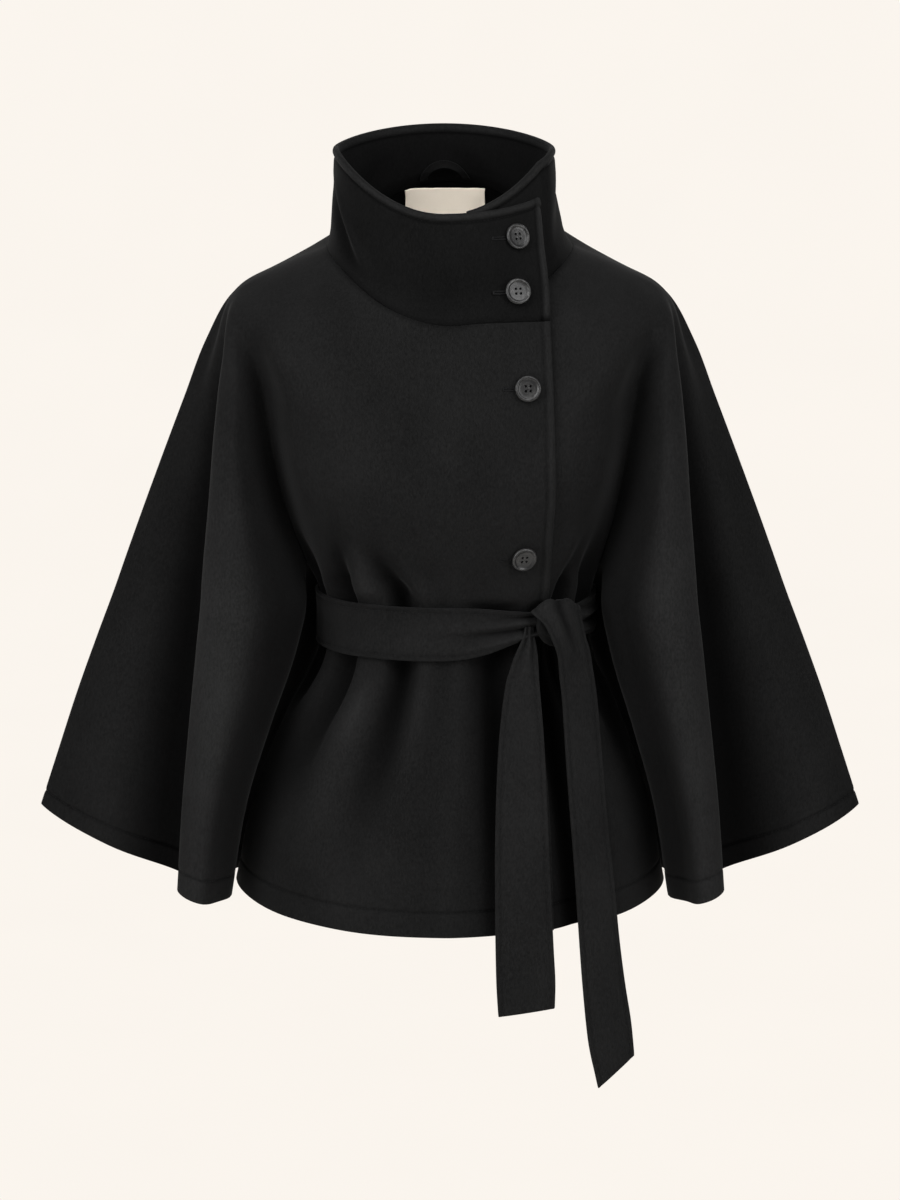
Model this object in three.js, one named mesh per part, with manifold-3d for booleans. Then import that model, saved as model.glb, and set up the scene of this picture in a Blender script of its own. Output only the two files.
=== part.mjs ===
// A belted wool cape coat, filled out as it is worn, in millimetres.
// X runs to the wearer's left, Y to the back, Z up. The origin is at the middle of the neck base.
// Four body panels, each cut in one with half of a wide wing sleeve, meet at the shoulder, side and
// underarm seams, all of which lie in the plane Y = 0, and at the centre back. The wearer's right front
// laps over the left front. A funnel collar, a tie belt, buttons, a hanger loop and a label go on them.
import * as THREE from "three";
import { mergeVertices } from "three/addons/utils/BufferGeometryUtils.js";
import Module from "manifold-3d";

const wasm = await Module();
wasm.setup();

// Driving dimensions
const CLOTH = 2.4; // thickness of the coating cloth
const DOUBLE_CLOTH = 3.2; // thickness where it is folded double: collar, belt and tails
const SEAM_GAP = 0.3; // space between two pieces at a seam
const LAP_GAP = 0.9; // space between the two layers of the front overlap
const NECK = { half: 121, fore: 118, aft: 92, frontZ: -63, sideZ: 0, backZ: 55 };
const COLLAR_TOP = { half: 107, fore: 94, aft: 77, frontZ: 42, sideZ: 97, backZ: 113, shiftX: -6, sweep: 1.6 };
const WAIST_SHIFT_X = 6.5; // the belt pulls the waist this far to the wearer's left
const UNDERLAP_X = 22; // where the left front ends, under the right front
const BUTTON = { radius: 12.7, thickness: 4.2, bevel: 1.2, rim: 2.6, dish: 1.4, holeRadius: 1.15, holeSpacing: 4.6 };
const BUTTON_SIDES = 22;
const HOLE_SIDES = 6;
const BUTTON_GAP = 0.6; // between a button's flat back and the cloth
const BELT_GAP = 1.6; // between the belt and the panels that it gathers
const HANGER_LOOP = { width: 8, span: 47, rise: 15, thickness: 1.6, standOff: 4 };
const LABEL = { width: 82, height: 36, thickness: 0.8, below: 4, shiftX: -5 };
const UP = new THREE.Vector3(0, 0, 1);

// One row for each ring round the coat, from the neck seam to the hem. z is the height at the centre
// front and zBack at the centre back; arm is the outer edge of the wing. body is half the width of the
// torso, and fore and aft are its depth at the centre front and back. valley is where the torso meets the
// wing, and below the underarm it is the underarm seam. inner, crest and tuck run across the wing's
// hanging flute, from its inner side over its face to the hidden fold behind it. full is 1 where the
// flute has its own shape and 0 where the cloth lies smooth over the shoulders.
const RINGS = [
  { name: "neck", z: -63, zBack: 55, armX: 121, armZ: 0, body: 121, fore: 118, aft: 92, full: 0 },
  { name: "yoke", z: -105, zBack: 8, armX: 168, armZ: -19, body: 168, fore: 123, aft: 108, full: 0 },
  { name: "shoulder", z: -150, zBack: -51, armX: 212, armZ: -44, body: 212, fore: 128, aft: 120, full: 0 },
  { name: "armhole", z: -195, zBack: -108, armX: 241, armZ: -93, body: 195, fore: 133, aft: 124, full: 1,
    valleyX: 183, valleyY: 50, innerX: 196, innerBackX: 196, innerY: 62, fluteY: 72, crestX: 222, tuckX: 220, tuckY: 34 },
  { name: "chest", z: -235, zBack: -170, armX: 262, armZ: -147, body: 186, fore: 134, aft: 119, full: 1,
    valleyX: 174, valleyY: 42, innerX: 192, innerBackX: 190, innerY: 66, fluteY: 84, crestX: 229, tuckX: 225, tuckY: 38 },
  { name: "ribs", z: -282, zBack: -240, armX: 293, armZ: -228, body: 165, fore: 122, aft: 106, full: 1,
    valleyX: 161, valleyY: 25, innerX: 174, innerBackX: 168, innerY: 62, fluteY: 97, crestX: 235, tuckX: 229, tuckY: 42 },
  { name: "underarm", z: -318, zBack: -318, armX: 324, armZ: -312, body: 146, fore: 108, aft: 95, full: 1,
    valleyX: 146, valleyY: 4, innerX: 153, innerBackX: 145, innerY: 56, fluteY: 104, crestX: 241, tuckX: 233, tuckY: 44 },
  { name: "beltTop", z: -342, zBack: -342, armX: 334, armZ: -340, body: 136, fore: 101, aft: 89, full: 1,
    valleyX: 150, valleyY: 0, innerX: 146, innerBackX: 129, innerY: 60, fluteY: 106, crestX: 243, tuckX: 235, tuckY: 44 },
  { name: "beltLow", z: -396, zBack: -396, armX: 353, armZ: -390, body: 135, fore: 101, aft: 89, full: 1,
    valleyX: 158, valleyY: 0, innerX: 156, innerBackX: 129, innerY: 66, fluteY: 110, crestX: 250, tuckX: 240, tuckY: 46 },
  { name: "hip", z: -472, zBack: -472, armX: 375, armZ: -450, body: 167, fore: 125, aft: 112, full: 1,
    valleyX: 183, valleyY: 0, innerX: 179, innerBackX: 156, innerY: 72, fluteY: 115, crestX: 259, tuckX: 248, tuckY: 48 },
  { name: "thigh", z: -562, zBack: -562, armX: 394, armZ: -507, body: 197, fore: 142, aft: 128, full: 1,
    valleyX: 211, valleyY: 0, innerX: 202, innerBackX: 190, innerY: 76, fluteY: 119, crestX: 268, tuckX: 256, tuckY: 50 },
  { name: "hem", z: -662, zBack: -662, armX: 413.5, armZ: -566, body: 217, fore: 152, aft: 138, full: 1, sweep: 2.5,
    valleyX: 230, valleyY: 0, innerX: 217, innerBackX: 209, innerY: 78, fluteY: 122, crestX: 275, tuckX: 264, tuckY: 50 },
];
const UNDERARM = RINGS.findIndex((ring) => ring.name === "underarm");
const BELT_TOP = RINGS.findIndex((ring) => ring.name === "beltTop");
const HEM = RINGS.length - 1;
const BACK_FLUTE = 0.8; // the back's flutes stand out this much less than the front's

// The named lines that run down a quarter of the coat, from its centre to the outer edge of the wing: where
// each one is across the pattern, from 0 to 1, its angle round the neck where the cloth lies smooth, and how
// far it follows the waist when the belt pulls it aside.
const LINES = [
  { name: "centre", across: 0, angle: 0, follows: 1 },
  { name: "bust", across: 0.14, angle: 28, follows: 1 },
  { name: "side", across: 0.28, angle: 52, follows: 1 },
  { name: "valley", across: 0.4, angle: 64, follows: 1 },
  { name: "inner", across: 0.48, angle: 69, follows: 0.6, followsBehind: 1 },
  { name: "flute", across: 0.57, angle: 74, follows: 0.3 },
  { name: "crest", across: 0.66, angle: 79, follows: 0.1 },
  { name: "tuck", across: 0.75, angle: 83, follows: 0 },
  { name: "outer", across: 0.87, angle: 86.5, follows: 0 },
  { name: "nose", across: 0.97, angle: 89, follows: 0 },
  { name: "arm", across: 1, angle: 90, follows: 0 },
];
const VALLEY = LINES.findIndex((line) => line.name === "valley");
const SIDE_SEAM = LINES[VALLEY].across;
const NOSE_RADIUS = 9; // of the wing's rounded outer edge
const FULLNESS = 0.8; // below 1 the torso is fuller than an ellipse

// Soft troughs gathered by the belt: which side and face, where across, how wide (across) and deep (mm),
// and the rings between which each runs.
const FOLDS = [
  { side: -1, face: 1, at: 0.305, width: 0.026, depth: 11, top: 4.6, bottom: 9.4 },
  { side: -1, face: 1, at: 0.165, width: 0.03, depth: 12, top: 4.9, bottom: 10.2 },
  { side: -1, face: 1, at: 0.235, width: 0.022, depth: 6, top: 5.4, bottom: 8.8 },
  { side: 1, face: 1, at: 0.325, width: 0.024, depth: 10, top: 4.9, bottom: 9.6 },
  { side: 1, face: 1, at: 0.265, width: 0.022, depth: 8, top: 5.2, bottom: 9.2 },
  { side: 1, face: 1, at: 0.1, width: 0.045, depth: 7, top: 6.6, bottom: 10.8 },
  { side: -1, face: -1, at: 0.07, width: 0.03, depth: 10, top: 4.8, bottom: 9.8 },
  { side: -1, face: -1, at: 0.19, width: 0.028, depth: 12, top: 4.6, bottom: 9.9 },
  { side: -1, face: -1, at: 0.31, width: 0.026, depth: 9, top: 5.0, bottom: 9.3 },
  { side: 1, face: -1, at: 0.09, width: 0.032, depth: 11, top: 4.7, bottom: 9.6 },
  { side: 1, face: -1, at: 0.2, width: 0.026, depth: 9, top: 5.0, bottom: 9.9 },
  { side: 1, face: -1, at: 0.3, width: 0.028, depth: 11, top: 4.8, bottom: 9.5 },
];

const radians = THREE.MathUtils.degToRad;
const lerp = THREE.MathUtils.lerp;
const smooth = (low, high, value) => THREE.MathUtils.smoothstep(value, low, high);
const vec = (x, y, z) => new THREE.Vector3(x, y, z);

// The height of a ring at a distance out from the centre: it climbs towards the wing's outer edge.
function ringZ(ring, out, face) {
  const centreZ = face > 0 ? ring.z : ring.zBack;
  return centreZ + (ring.armZ - centreZ) * (out / ring.armX) ** (ring.sweep ?? 2);
}

// The eleven points where the named lines cross one ring, on the wearer's left, face 1 front or -1 back.
function ringPoints(ring, face, index) {
  const depth = face > 0 ? ring.fore : ring.aft;
  const fluteScale = face > 0 ? 1 : BACK_FLUTE;
  const innerX = face > 0 ? ring.innerX : ring.innerBackX;
  return LINES.map((line) => {
    const a = radians(line.angle);
    let out = ring.body * Math.sin(a);
    let fore = depth * Math.cos(a) ** (line.name === "side" || line.name === "bust" ? FULLNESS : 1);
    if (ring.full) {
      if (line.name === "valley") [out, fore] = [ring.valleyX, ring.valleyY];
      if (line.name === "inner") [out, fore] = [innerX, ring.innerY * fluteScale];
      if (line.name === "flute") [out, fore] = [lerp(innerX, ring.crestX, 0.45), ring.fluteY * fluteScale];
      if (line.name === "crest") [out, fore] = [ring.crestX, ring.fluteY * 0.82 * fluteScale];
      if (line.name === "tuck") [out, fore] = [ring.tuckX, ring.tuckY * fluteScale];
      if (line.name === "outer") [out, fore] = [lerp(ring.tuckX, ring.armX, 0.52), lerp(ring.tuckY, NOSE_RADIUS, 0.55) * fluteScale];
      if (line.name === "nose") [out, fore] = [ring.armX - NOSE_RADIUS * 0.8, NOSE_RADIUS];
      if (line.name === "arm") [out, fore] = [ring.armX, 0];
    }
    const follows = (face < 0 && line.followsBehind) || line.follows;
    const shift = WAIST_SHIFT_X * follows * Math.max(0, 1 - Math.abs(index - BELT_TOP - 0.4) / 3);
    return { point: vec(out, -face * fore, ringZ(ring, out, face)), shift };
  });
}

// Tangents of a smooth curve through points, of unit speed. before and after continue it past its ends.
function tangentsThrough(points, before, after) {
  const all = [before, ...points, after];
  return points.map((point, i) => {
    const [last, next] = [all[i], all[i + 2]];
    if (!last) return next.clone().sub(point).normalize();
    if (!next) return point.clone().sub(last).normalize();
    return parabolaTangent(last, point, next);
  });
}

function parabolaTangent(last, point, next) {
  const back = point.clone().sub(last);
  const ahead = next.clone().sub(point);
  const [b, a] = [Math.max(back.length(), 1e-6), Math.max(ahead.length(), 1e-6)];
  return ahead.multiplyScalar(b / a).add(back.multiplyScalar(a / b)).divideScalar(a + b);
}

// A point a share t of the way along one smooth span.
function hermite(p0, m0, p1, m1, t) {
  const length = p0.distanceTo(p1);
  const [t2, t3] = [t * t, t * t * t];
  return p0.clone().multiplyScalar(2 * t3 - 3 * t2 + 1)
    .addScaledVector(m0, (t3 - 2 * t2 + t) * length)
    .addScaledVector(p1, 3 * t2 - 2 * t3)
    .addScaledVector(m1, (t3 - t2) * length);
}

// The named lines as smooth curves down the coat, for one side and face. The valley line forks at the
// underarm into the torso's side seam and the wing's underarm seam.
function runLines(side, face) {
  const rows = RINGS.map((ring, index) =>
    ringPoints(ring, face, index).map(({ point, shift }) => vec(side * point.x + shift, point.y, point.z)));
  const lines = LINES.map((line, column) => {
    const points = rows.map((row) => row[column]);
    return { points, tangents: tangentsThrough(points) };
  });
  const sideSeam = RINGS.map((ring, index) => {
    const shift = WAIST_SHIFT_X * Math.max(0, 1 - Math.abs(index - BELT_TOP - 0.4) / 3);
    return index <= UNDERARM ? rows[index][VALLEY] : vec(side * ring.body + shift, 0, ringZ(ring, ring.body, face));
  });
  const forked = (points) => ({
    points,
    tangents: [...tangentsThrough(points.slice(0, UNDERARM + 1)), ...tangentsThrough(points.slice(UNDERARM)).slice(1)],
    below: tangentsThrough(points.slice(UNDERARM))[0],
  });
  return { lines, body: forked(sideSeam), wing: forked(rows.map((row) => row[VALLEY])) };
}
const RUNS = new Map();
for (const side of [-1, 1]) for (const face of [-1, 1]) RUNS.set(`${side},${face}`, runLines(side, face));

function alongLine(line, ring) {
  const i = Math.min(HEM - 1, Math.max(0, Math.floor(ring)));
  const start = line.below && i === UNDERARM ? line.below : line.tangents[i];
  return hermite(line.points[i], start, line.points[i + 1], line.tangents[i + 1], ring - i);
}

// The named points of one ring and their tangents, for the torso ("body") or the wing, on one side and face.
function quarterRing(side, face, part, ring) {
  const run = RUNS.get(`${side},${face}`);
  const other = RUNS.get(`${side},${-face}`);
  const at = (where, i) => alongLine(i === VALLEY ? where[part] : where.lines[i], ring);
  const points = LINES.map((_, i) => at(run, i));
  const last = LINES.length - 1;
  const tangents = points.map((point, i) => {
    if (i === 0) {
      // The ring runs level through the centre line.
      return vec(side, 0, 0);
    }
    if (i === last) return parabolaTangent(points[i - 1], point, at(other, i - 1));
    return parabolaTangent(points[i - 1], point, points[i + 1]);
  });
  const step = part === "body" ? -1 : 1;
  const creased = points[VALLEY + step].clone().sub(points[VALLEY]).multiplyScalar(step).normalize();
  if (ring <= UNDERARM) {
    tangents[VALLEY].lerp(creased, smooth(UNDERARM - 3, UNDERARM, ring));
  } else {
    const round = at(other, VALLEY + step).sub(points[VALLEY + step]).multiplyScalar(-step).normalize();
    tangents[VALLEY].copy(round.lerp(creased, 1 - smooth(UNDERARM, UNDERARM + 1, ring)));
  }
  return { points, tangents };
}

// A point of the coat's outer surface, before folds. across runs from 0 at the centre to 1 at the wing's edge.
function basePoint(side, face, part, across, ring) {
  const { points, tangents } = quarterRing(side, face, part, ring);
  let i = LINES.findIndex((line, n) => n && across <= line.across + 1e-9) - 1;
  if (i < 0) i = LINES.length - 2;
  if (part === "wing") i = Math.max(i, VALLEY);
  if (part === "body") i = Math.min(i, VALLEY - 1);
  const t = (across - LINES[i].across) / (LINES[i + 1].across - LINES[i].across);
  return hermite(points[i], tangents[i], points[i + 1], tangents[i + 1], t);
}

// The direction out of the cloth. At seams it lies along the seam's own plane, so that neighbours stay apart.
function baseNormal(side, face, part, across, ring) {
  if (ring < 0.1) return neckNormal(basePoint(side, face, part, across, 0));
  if (across === SIDE_SEAM && Math.abs(ring - UNDERARM) < 1e-6) return vec(0, -face, 0);
  const [low, high] = part === "wing" ? [SIDE_SEAM, 1] : [0, SIDE_SEAM];
  const [a0, a1] = [Math.max(low, across - 0.004), Math.min(high, across + 0.004)];
  const [r0, r1] = [Math.max(0, ring - 0.03), Math.min(HEM, ring + 0.03)];
  const alongRing = basePoint(side, face, part, a1, ring).sub(basePoint(side, face, part, a0, ring));
  const down = basePoint(side, face, part, across, r1).sub(basePoint(side, face, part, across, r0));
  const normal = alongRing.cross(down).multiplyScalar(-side * face);
  const onSeam = across === 1 || (across === SIDE_SEAM && ring > UNDERARM);
  if (onSeam) normal.y = 0;
  if (across === 0) normal.x = 0;
  return normal.normalize();
}

// The direction of the seam allowance at the neck seam, leaning back more at the sides than in front.
function neckNormal(point) {
  const depth = point.y < 0 ? NECK.fore : NECK.aft;
  const outward = vec(point.x / NECK.half ** 2, point.y / depth ** 2, 0).normalize();
  const lean = radians(15 + 30 * Math.min(1, (point.x / NECK.half) ** 2));
  return outward.multiplyScalar(Math.cos(lean)).addScaledVector(UP, Math.sin(lean));
}

// How far the folds push the cloth inwards at a place.
function foldDepth(side, face, across, ring) {
  let depth = 0;
  for (const fold of FOLDS) {
    if (fold.side !== side || fold.face !== face) continue;
    const peak = BELT_TOP + 0.5;
    const run = ring < peak ? smooth(fold.top, peak, ring) : 1 - smooth(peak, fold.bottom, ring);
    depth += fold.depth * run * Math.exp(-(((across - fold.at) / fold.width) ** 2));
  }
  return depth;
}

// The cloth's outer point and the direction out of it, pushed out by push.
function clothPoint(side, face, part, across, ring, push = 0) {
  const normal = baseNormal(side, face, part, across, ring);
  const inward = part === "body" ? foldDepth(side, face, across, ring) : 0;
  const point = basePoint(side, face, part, across, ring).addScaledVector(normal, push - inward);
  return { point, normal };
}

// Finds where on the torso, on its front (face 1) or back (face -1), the cloth has a given X and Z.
function placeAt(x, z, face = 1) {
  const side = x < 0 ? -1 : 1;
  let [across, ring] = [0.1, 3];
  for (let pass = 0; pass < 6; pass++) {
    let [low, high] = [0, HEM];
    for (let i = 0; i < 20; i++) {
      ring = (low + high) / 2;
      if (basePoint(side, face, "body", across, ring).z > z) low = ring;
      else high = ring;
    }
    [low, high] = [0, SIDE_SEAM];
    for (let i = 0; i < 20; i++) {
      across = (low + high) / 2;
      if (side * basePoint(side, face, "body", across, ring).x < Math.abs(x)) low = across;
      else high = across;
    }
  }
  return { side, face, across, ring };
}

// The cloth's point and normal at a place on the torso, pushed out by push, without its folds.
function pointAt({ side, face, across, ring }, push) {
  const normal = baseNormal(side, face, "body", across, ring);
  return { point: basePoint(side, face, "body", across, ring).addScaledVector(normal, push), normal };
}

// The right front's free edge: its X at a height.
const LAP_EDGE = [
  { z: 45, x: 87.5 },
  { z: -60, x: 96.5 },
  { z: -125, x: 99.5 },
  { z: -233, x: 102 },
  { z: -340, x: 96 },
  { z: -470, x: 98 },
  { z: -662, x: 104 },
];
function lapEdgeX(z) {
  const i = Math.max(1, LAP_EDGE.findIndex((row, n) => n && z >= row.z));
  const [a, b] = [LAP_EDGE[i - 1], LAP_EDGE[i]];
  return lerp(a.x, b.x, THREE.MathUtils.clamp((z - a.z) / (b.z - a.z), 0, 1));
}
const LAP_SEAM_Z = -61; // the right front's neck seam runs level from the centre to its free edge

// Builds a closed solid from outer and inner points and triangles over the outer sheet.
function closedSheet(outer, inner, faces) {
  const count = outer.length;
  const indices = [];
  const edges = new Map();
  for (const [a, b, c] of faces) {
    indices.push(a, b, c, a + count, c + count, b + count);
    for (const [p, q] of [[a, b], [b, c], [c, a]]) edges.set(`${p},${q}`, [p, q]);
  }
  for (const [p, q] of edges.values()) {
    if (!edges.has(`${q},${p}`)) indices.push(q, p, p + count, q, p + count, q + count);
  }
  const geometry = new THREE.BufferGeometry();
  const positions = [...outer, ...inner].flatMap((point) => point.toArray());
  geometry.setAttribute("position", new THREE.Float32BufferAttribute(positions, 3));
  geometry.setIndex(indices);
  return outwards(geometry);
}

// The volume's sign says which way a closed mesh's faces point. One that is inside out is turned round.
function outwards(geometry) {
  const position = geometry.getAttribute("position");
  const index = geometry.getIndex();
  const [a, b, c] = [vec(), vec(), vec()];
  let volume = 0;
  for (let i = 0; i < index.count; i += 3) {
    [a, b, c].forEach((point, n) => point.fromBufferAttribute(position, index.getX(i + n)));
    volume += a.dot(b.cross(c));
  }
  if (volume < 0) {
    for (let i = 0; i < index.count; i += 3) {
      const second = index.getX(i + 1);
      index.setX(i + 1, index.getX(i + 2));
      index.setX(i + 2, second);
    }
  }
  geometry.computeVertexNormals();
  return geometry;
}

// A wall over a plain grid of {point, normal} cells, wrapped round where closed.
function gridSheet(rows, thickness, closed = false) {
  const width = rows[0].length;
  const cells = rows.flat();
  const faces = [];
  for (let i = 0; i + 1 < rows.length; i++) {
    for (let j = 0; j < (closed ? width : width - 1); j++) {
      const next = (j + 1) % width;
      const [a, b, c, d] = [i * width + j, i * width + next, (i + 1) * width + next, (i + 1) * width + j];
      faces.push([a, b, c], [a, c, d]);
    }
  }
  const inner = cells.map((cell) => cell.point.clone().addScaledVector(cell.normal, -(cell.thickness ?? thickness)));
  return closedSheet(cells.map((cell) => cell.point), inner, faces);
}

// Where the grid lines of a panel lie, closer together round the belt and over the flutes.
const RING_ROWS = [0.017, 0.5, 1, 1.5, 2, 2.5, 3, 3.5, 4, 4.6, 5.2, 5.7, 6, 6.4, 7, 7.5, 8, 8.5, 9, 9.7, 10.4, 11];
const BODY_COLUMNS = [0, 0.045, 0.09, 0.13, 0.165, 0.2, 0.235, 0.265, 0.295, 0.325, 0.36, SIDE_SEAM];
const WING_COLUMNS = [0.44, 0.48, 0.525, 0.57, 0.6, 0.63, 0.66, 0.705, 0.75, 0.79, 0.83, 0.87, 0.92, 0.97, 0.985, 1];
const LAP_COLUMNS = 6;
const LAP_LEVEL_RINGS = 2;

// One quarter of the coat as a wall: the torso's part, the wing's part, and the slit between them below the
// underarm. bodyCells gives, for a ring, the torso's cells from the centre to the seam.
function panel(side, face, bodyCells) {
  const outer = [];
  const inner = [];
  const faces = [];
  const add = ({ point, normal }) => {
    outer.push(point);
    inner.push(point.clone().addScaledVector(normal, -CLOTH));
    return outer.length - 1;
  };
  const onSeam = (cell) => {
    cell.point.y = -face * Math.max(SEAM_GAP / 2, -face * cell.point.y);
    return cell;
  };
  const grid = RING_ROWS.map((ring) => {
    const body = bodyCells(ring).map((cell) => add(cell));
    const seam = add(onSeam(clothPoint(side, face, "body", SIDE_SEAM, ring)));
    const split = ring > UNDERARM;
    const wing = [split ? add(onSeam(clothPoint(side, face, "wing", SIDE_SEAM, ring))) : seam];
    for (const across of WING_COLUMNS) {
      const cell = clothPoint(side, face, "wing", across, ring);
      wing.push(add(across === 1 ? onSeam(cell) : cell));
    }
    return { body: [...body, seam], wing };
  });
  for (let i = 0; i + 1 < grid.length; i++) {
    for (const part of ["body", "wing"]) {
      const [top, low] = [grid[i][part], grid[i + 1][part]];
      for (let j = 0; j + 1 < top.length; j++) {
        faces.push([top[j], top[j + 1], low[j + 1]], [top[j], low[j + 1], low[j]]);
      }
    }
  }
  return closedSheet(outer, inner, faces);
}

// How far the two front layers stand off the shared surface: the upper rises a little over the lower.
const LAP_RISE = 0.6;
const lapRise = (x) => LAP_RISE * smooth(-40, 15, x);
const lapDrop = (ring) => LAP_GAP + lerp(DOUBLE_CLOTH, CLOTH, smooth(0.8, 2, ring));
const LAP_EASE = { from: 4, to: 30 }; // past the free edge, where the lower layer comes back to the surface

// A place on the right front, past the centre: a share of the way to its free edge. The first rows run from
// its level neck seam instead of climbing with the left front's.
function lapPlace(share, ring) {
  const reached = Math.max(ring, LAP_LEVEL_RINGS);
  let place = { across: 0.05, ring: reached };
  let z = 0;
  for (let pass = 0; pass < 4; pass++) {
    z = basePoint(1, 1, "body", place.across, reached).z;
    place = placeAt(lapEdgeX(z) * share, z);
  }
  if (ring >= LAP_LEVEL_RINGS) return { ...place, ring };
  const level = lerp(LAP_SEAM_Z, z, ring / LAP_LEVEL_RINGS);
  place = placeAt(lapEdgeX(level) * share, level);
  return { ...place, ring: Math.max(place.ring + 2 * RING_ROWS[0], ring) };
}

// The right front: from its own side seam across the centre to its free edge on the left of the chest.
function rightFront() {
  return panel(-1, 1, (ring) => {
    const cells = [];
    for (let k = LAP_COLUMNS; k >= 1; k--) {
      const place = lapPlace(k / LAP_COLUMNS, ring);
      const cell = clothPoint(1, 1, "body", place.across, place.ring, LAP_RISE);
      if (ring < 0.1) cell.normal = neckNormal(cell.point);
      cells.push(cell);
    }
    for (const across of BODY_COLUMNS.slice(0, -1)) {
      const x = basePoint(-1, 1, "body", across, ring).x;
      cells.push(clothPoint(-1, 1, "body", across, ring, lapRise(x)));
    }
    return cells;
  });
}

// The left front: from its edge under the right front to its own side seam.
function leftFront() {
  return panel(1, 1, (ring) => {
    const z = basePoint(1, 1, "body", 0.05, ring).z;
    const edge = placeAt(UNDERLAP_X, z).across;
    return BODY_COLUMNS.slice(0, -1).map((column) => {
      const across = lerp(edge, SIDE_SEAM, column / SIDE_SEAM);
      const { x, z: height } = basePoint(1, 1, "body", across, ring);
      const lap = lapEdgeX(Math.max(height, LAP_SEAM_Z));
      const end = Math.min(lap + LAP_EASE.to, basePoint(1, 1, "body", SIDE_SEAM, ring).x);
      const drop = lapDrop(ring) * (1 - smooth(lap + LAP_EASE.from, end, x));
      return clothPoint(1, 1, "body", across, ring, -drop);
    });
  });
}

// One half of the back, from the centre back seam to its side seam.
function backHalf(side) {
  return panel(side, -1, (ring) => BODY_COLUMNS.slice(0, -1).map((across) => {
    const cell = clothPoint(side, -1, "body", across, ring);
    if (across === 0) cell.point.x += side * (SEAM_GAP / 2);
    return cell;
  }));
}

// The collar is one band that winds once round the neck and laps over itself in front. Its profile: at a share
// of its height, how far it has gone from the neck seam's size to the size of its top edge.
const COLLAR_PROFILE = [
  { height: 0, lean: 0 },
  { height: 0.09, lean: 0.3 },
  { height: 0.18, lean: 0.5 },
  { height: 0.36, lean: 0.63 },
  { height: 0.58, lean: 0.75 },
  { height: 0.8, lean: 0.88 },
  { height: 1, lean: 1 },
];
const COLLAR_RIM = 1.3; // the turned top edge is this much thicker
const TAB_END = 60; // degrees round from the centre front, at the top edge of the collar's tab
const TAB_TOP_Z = 45;
const TAB_BOW = 3; // how far its free end stands off the layer below
const UNDER_END = -348; // where the collar's other end lies, under the tab, counted round the back
const COLLAR_STEP = 8.5; // degrees between columns
const TAB_COLUMNS = 8;
const COLLAR_EASE = { from: 56, to: 64, rise: 8 }; // degrees where the under layer moves in below the tab
// Soft buckles: each runs between two places, given by the angle round the neck and the share of the height.
const COLLAR_BUCKLES = [
  { angle: -92, height: 0.52, toAngle: -50, toHeight: 0.1, width: 0.1, depth: 5 },
  { angle: -118, height: 0.2, toAngle: -140, toHeight: 0.75, width: 0.12, depth: 3 },
  { angle: -262, height: 0.7, toAngle: -285, toHeight: 0.25, width: 0.12, depth: 3 },
];

function collarRing(angle, height) {
  const i = Math.max(1, COLLAR_PROFILE.findIndex((row, n) => n && height <= row.height + 1e-9));
  const [a, b] = [COLLAR_PROFILE[i - 1], COLLAR_PROFILE[i]];
  const lean = lerp(a.lean, b.lean, (height - a.height) / (b.height - a.height));
  const front = Math.cos(radians(angle)) > 0;
  const across = lerp(NECK.half, COLLAR_TOP.half, lean) * Math.sin(radians(angle)) + COLLAR_TOP.shiftX * lean;
  const depth = front ? -lerp(NECK.fore, COLLAR_TOP.fore, lean) : -lerp(NECK.aft, COLLAR_TOP.aft, lean);
  const level = (edge) => edge.sideZ
    + ((front ? edge.frontZ : edge.backZ) - edge.sideZ) * Math.abs(Math.cos(radians(angle))) ** (front ? 2 : edge.sweep ?? 2);
  return vec(across, depth * Math.cos(radians(angle)), lerp(level(NECK), level(COLLAR_TOP), height));
}

// The tab's neck seam follows the right front's level seam over the left front.
const tabSeam = (share) =>
  pointAt(placeAt(lapEdgeX(LAP_SEAM_Z) * share, LAP_SEAM_Z), LAP_RISE * smooth(0, 0.2, share)).point;

function tabPoint(share, height) {
  const low = tabSeam(share);
  const high = collarRing(TAB_END * share, 1);
  high.z = lerp(COLLAR_TOP.frontZ, TAB_TOP_Z, share);
  const round = collarRing(TAB_END * share, height);
  const start = collarRing(TAB_END * share, 0);
  const end = collarRing(TAB_END * share, 1);
  const profile = Math.abs(start.x - end.x) + Math.abs(start.y - end.y);
  const gone = profile > 1e-6 ? (Math.abs(start.x - round.x) + Math.abs(start.y - round.y)) / profile : height;
  const lean = lerp(gone, height, smooth(0.05, 0.4, share));
  const bow = TAB_BOW * smooth(0.4, 0.9, share) * Math.sin(Math.PI * Math.min(1, height / 0.6));
  return vec(lerp(low.x, high.x, lean) + bow / 2, lerp(low.y, high.y, lean) - bow, lerp(low.z, high.z, height));
}

function buckleDepth(angle, height) {
  let depth = 0;
  for (const buckle of COLLAR_BUCKLES) {
    const [runA, runH] = [(buckle.toAngle - buckle.angle) / 100, buckle.toHeight - buckle.height];
    const [a, h] = [(angle - buckle.angle) / 100, height - buckle.height];
    const along = THREE.MathUtils.clamp((a * runA + h * runH) / (runA ** 2 + runH ** 2), 0, 1);
    const away = Math.hypot(a - along * runA, h - along * runH);
    depth += buckle.depth * Math.exp(-((away / buckle.width) ** 2)) * Math.sin(Math.PI * lerp(0.15, 0.85, along));
  }
  return depth * smooth(0.02, 0.15, height) * (1 - smooth(0.85, 1, height));
}

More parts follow.
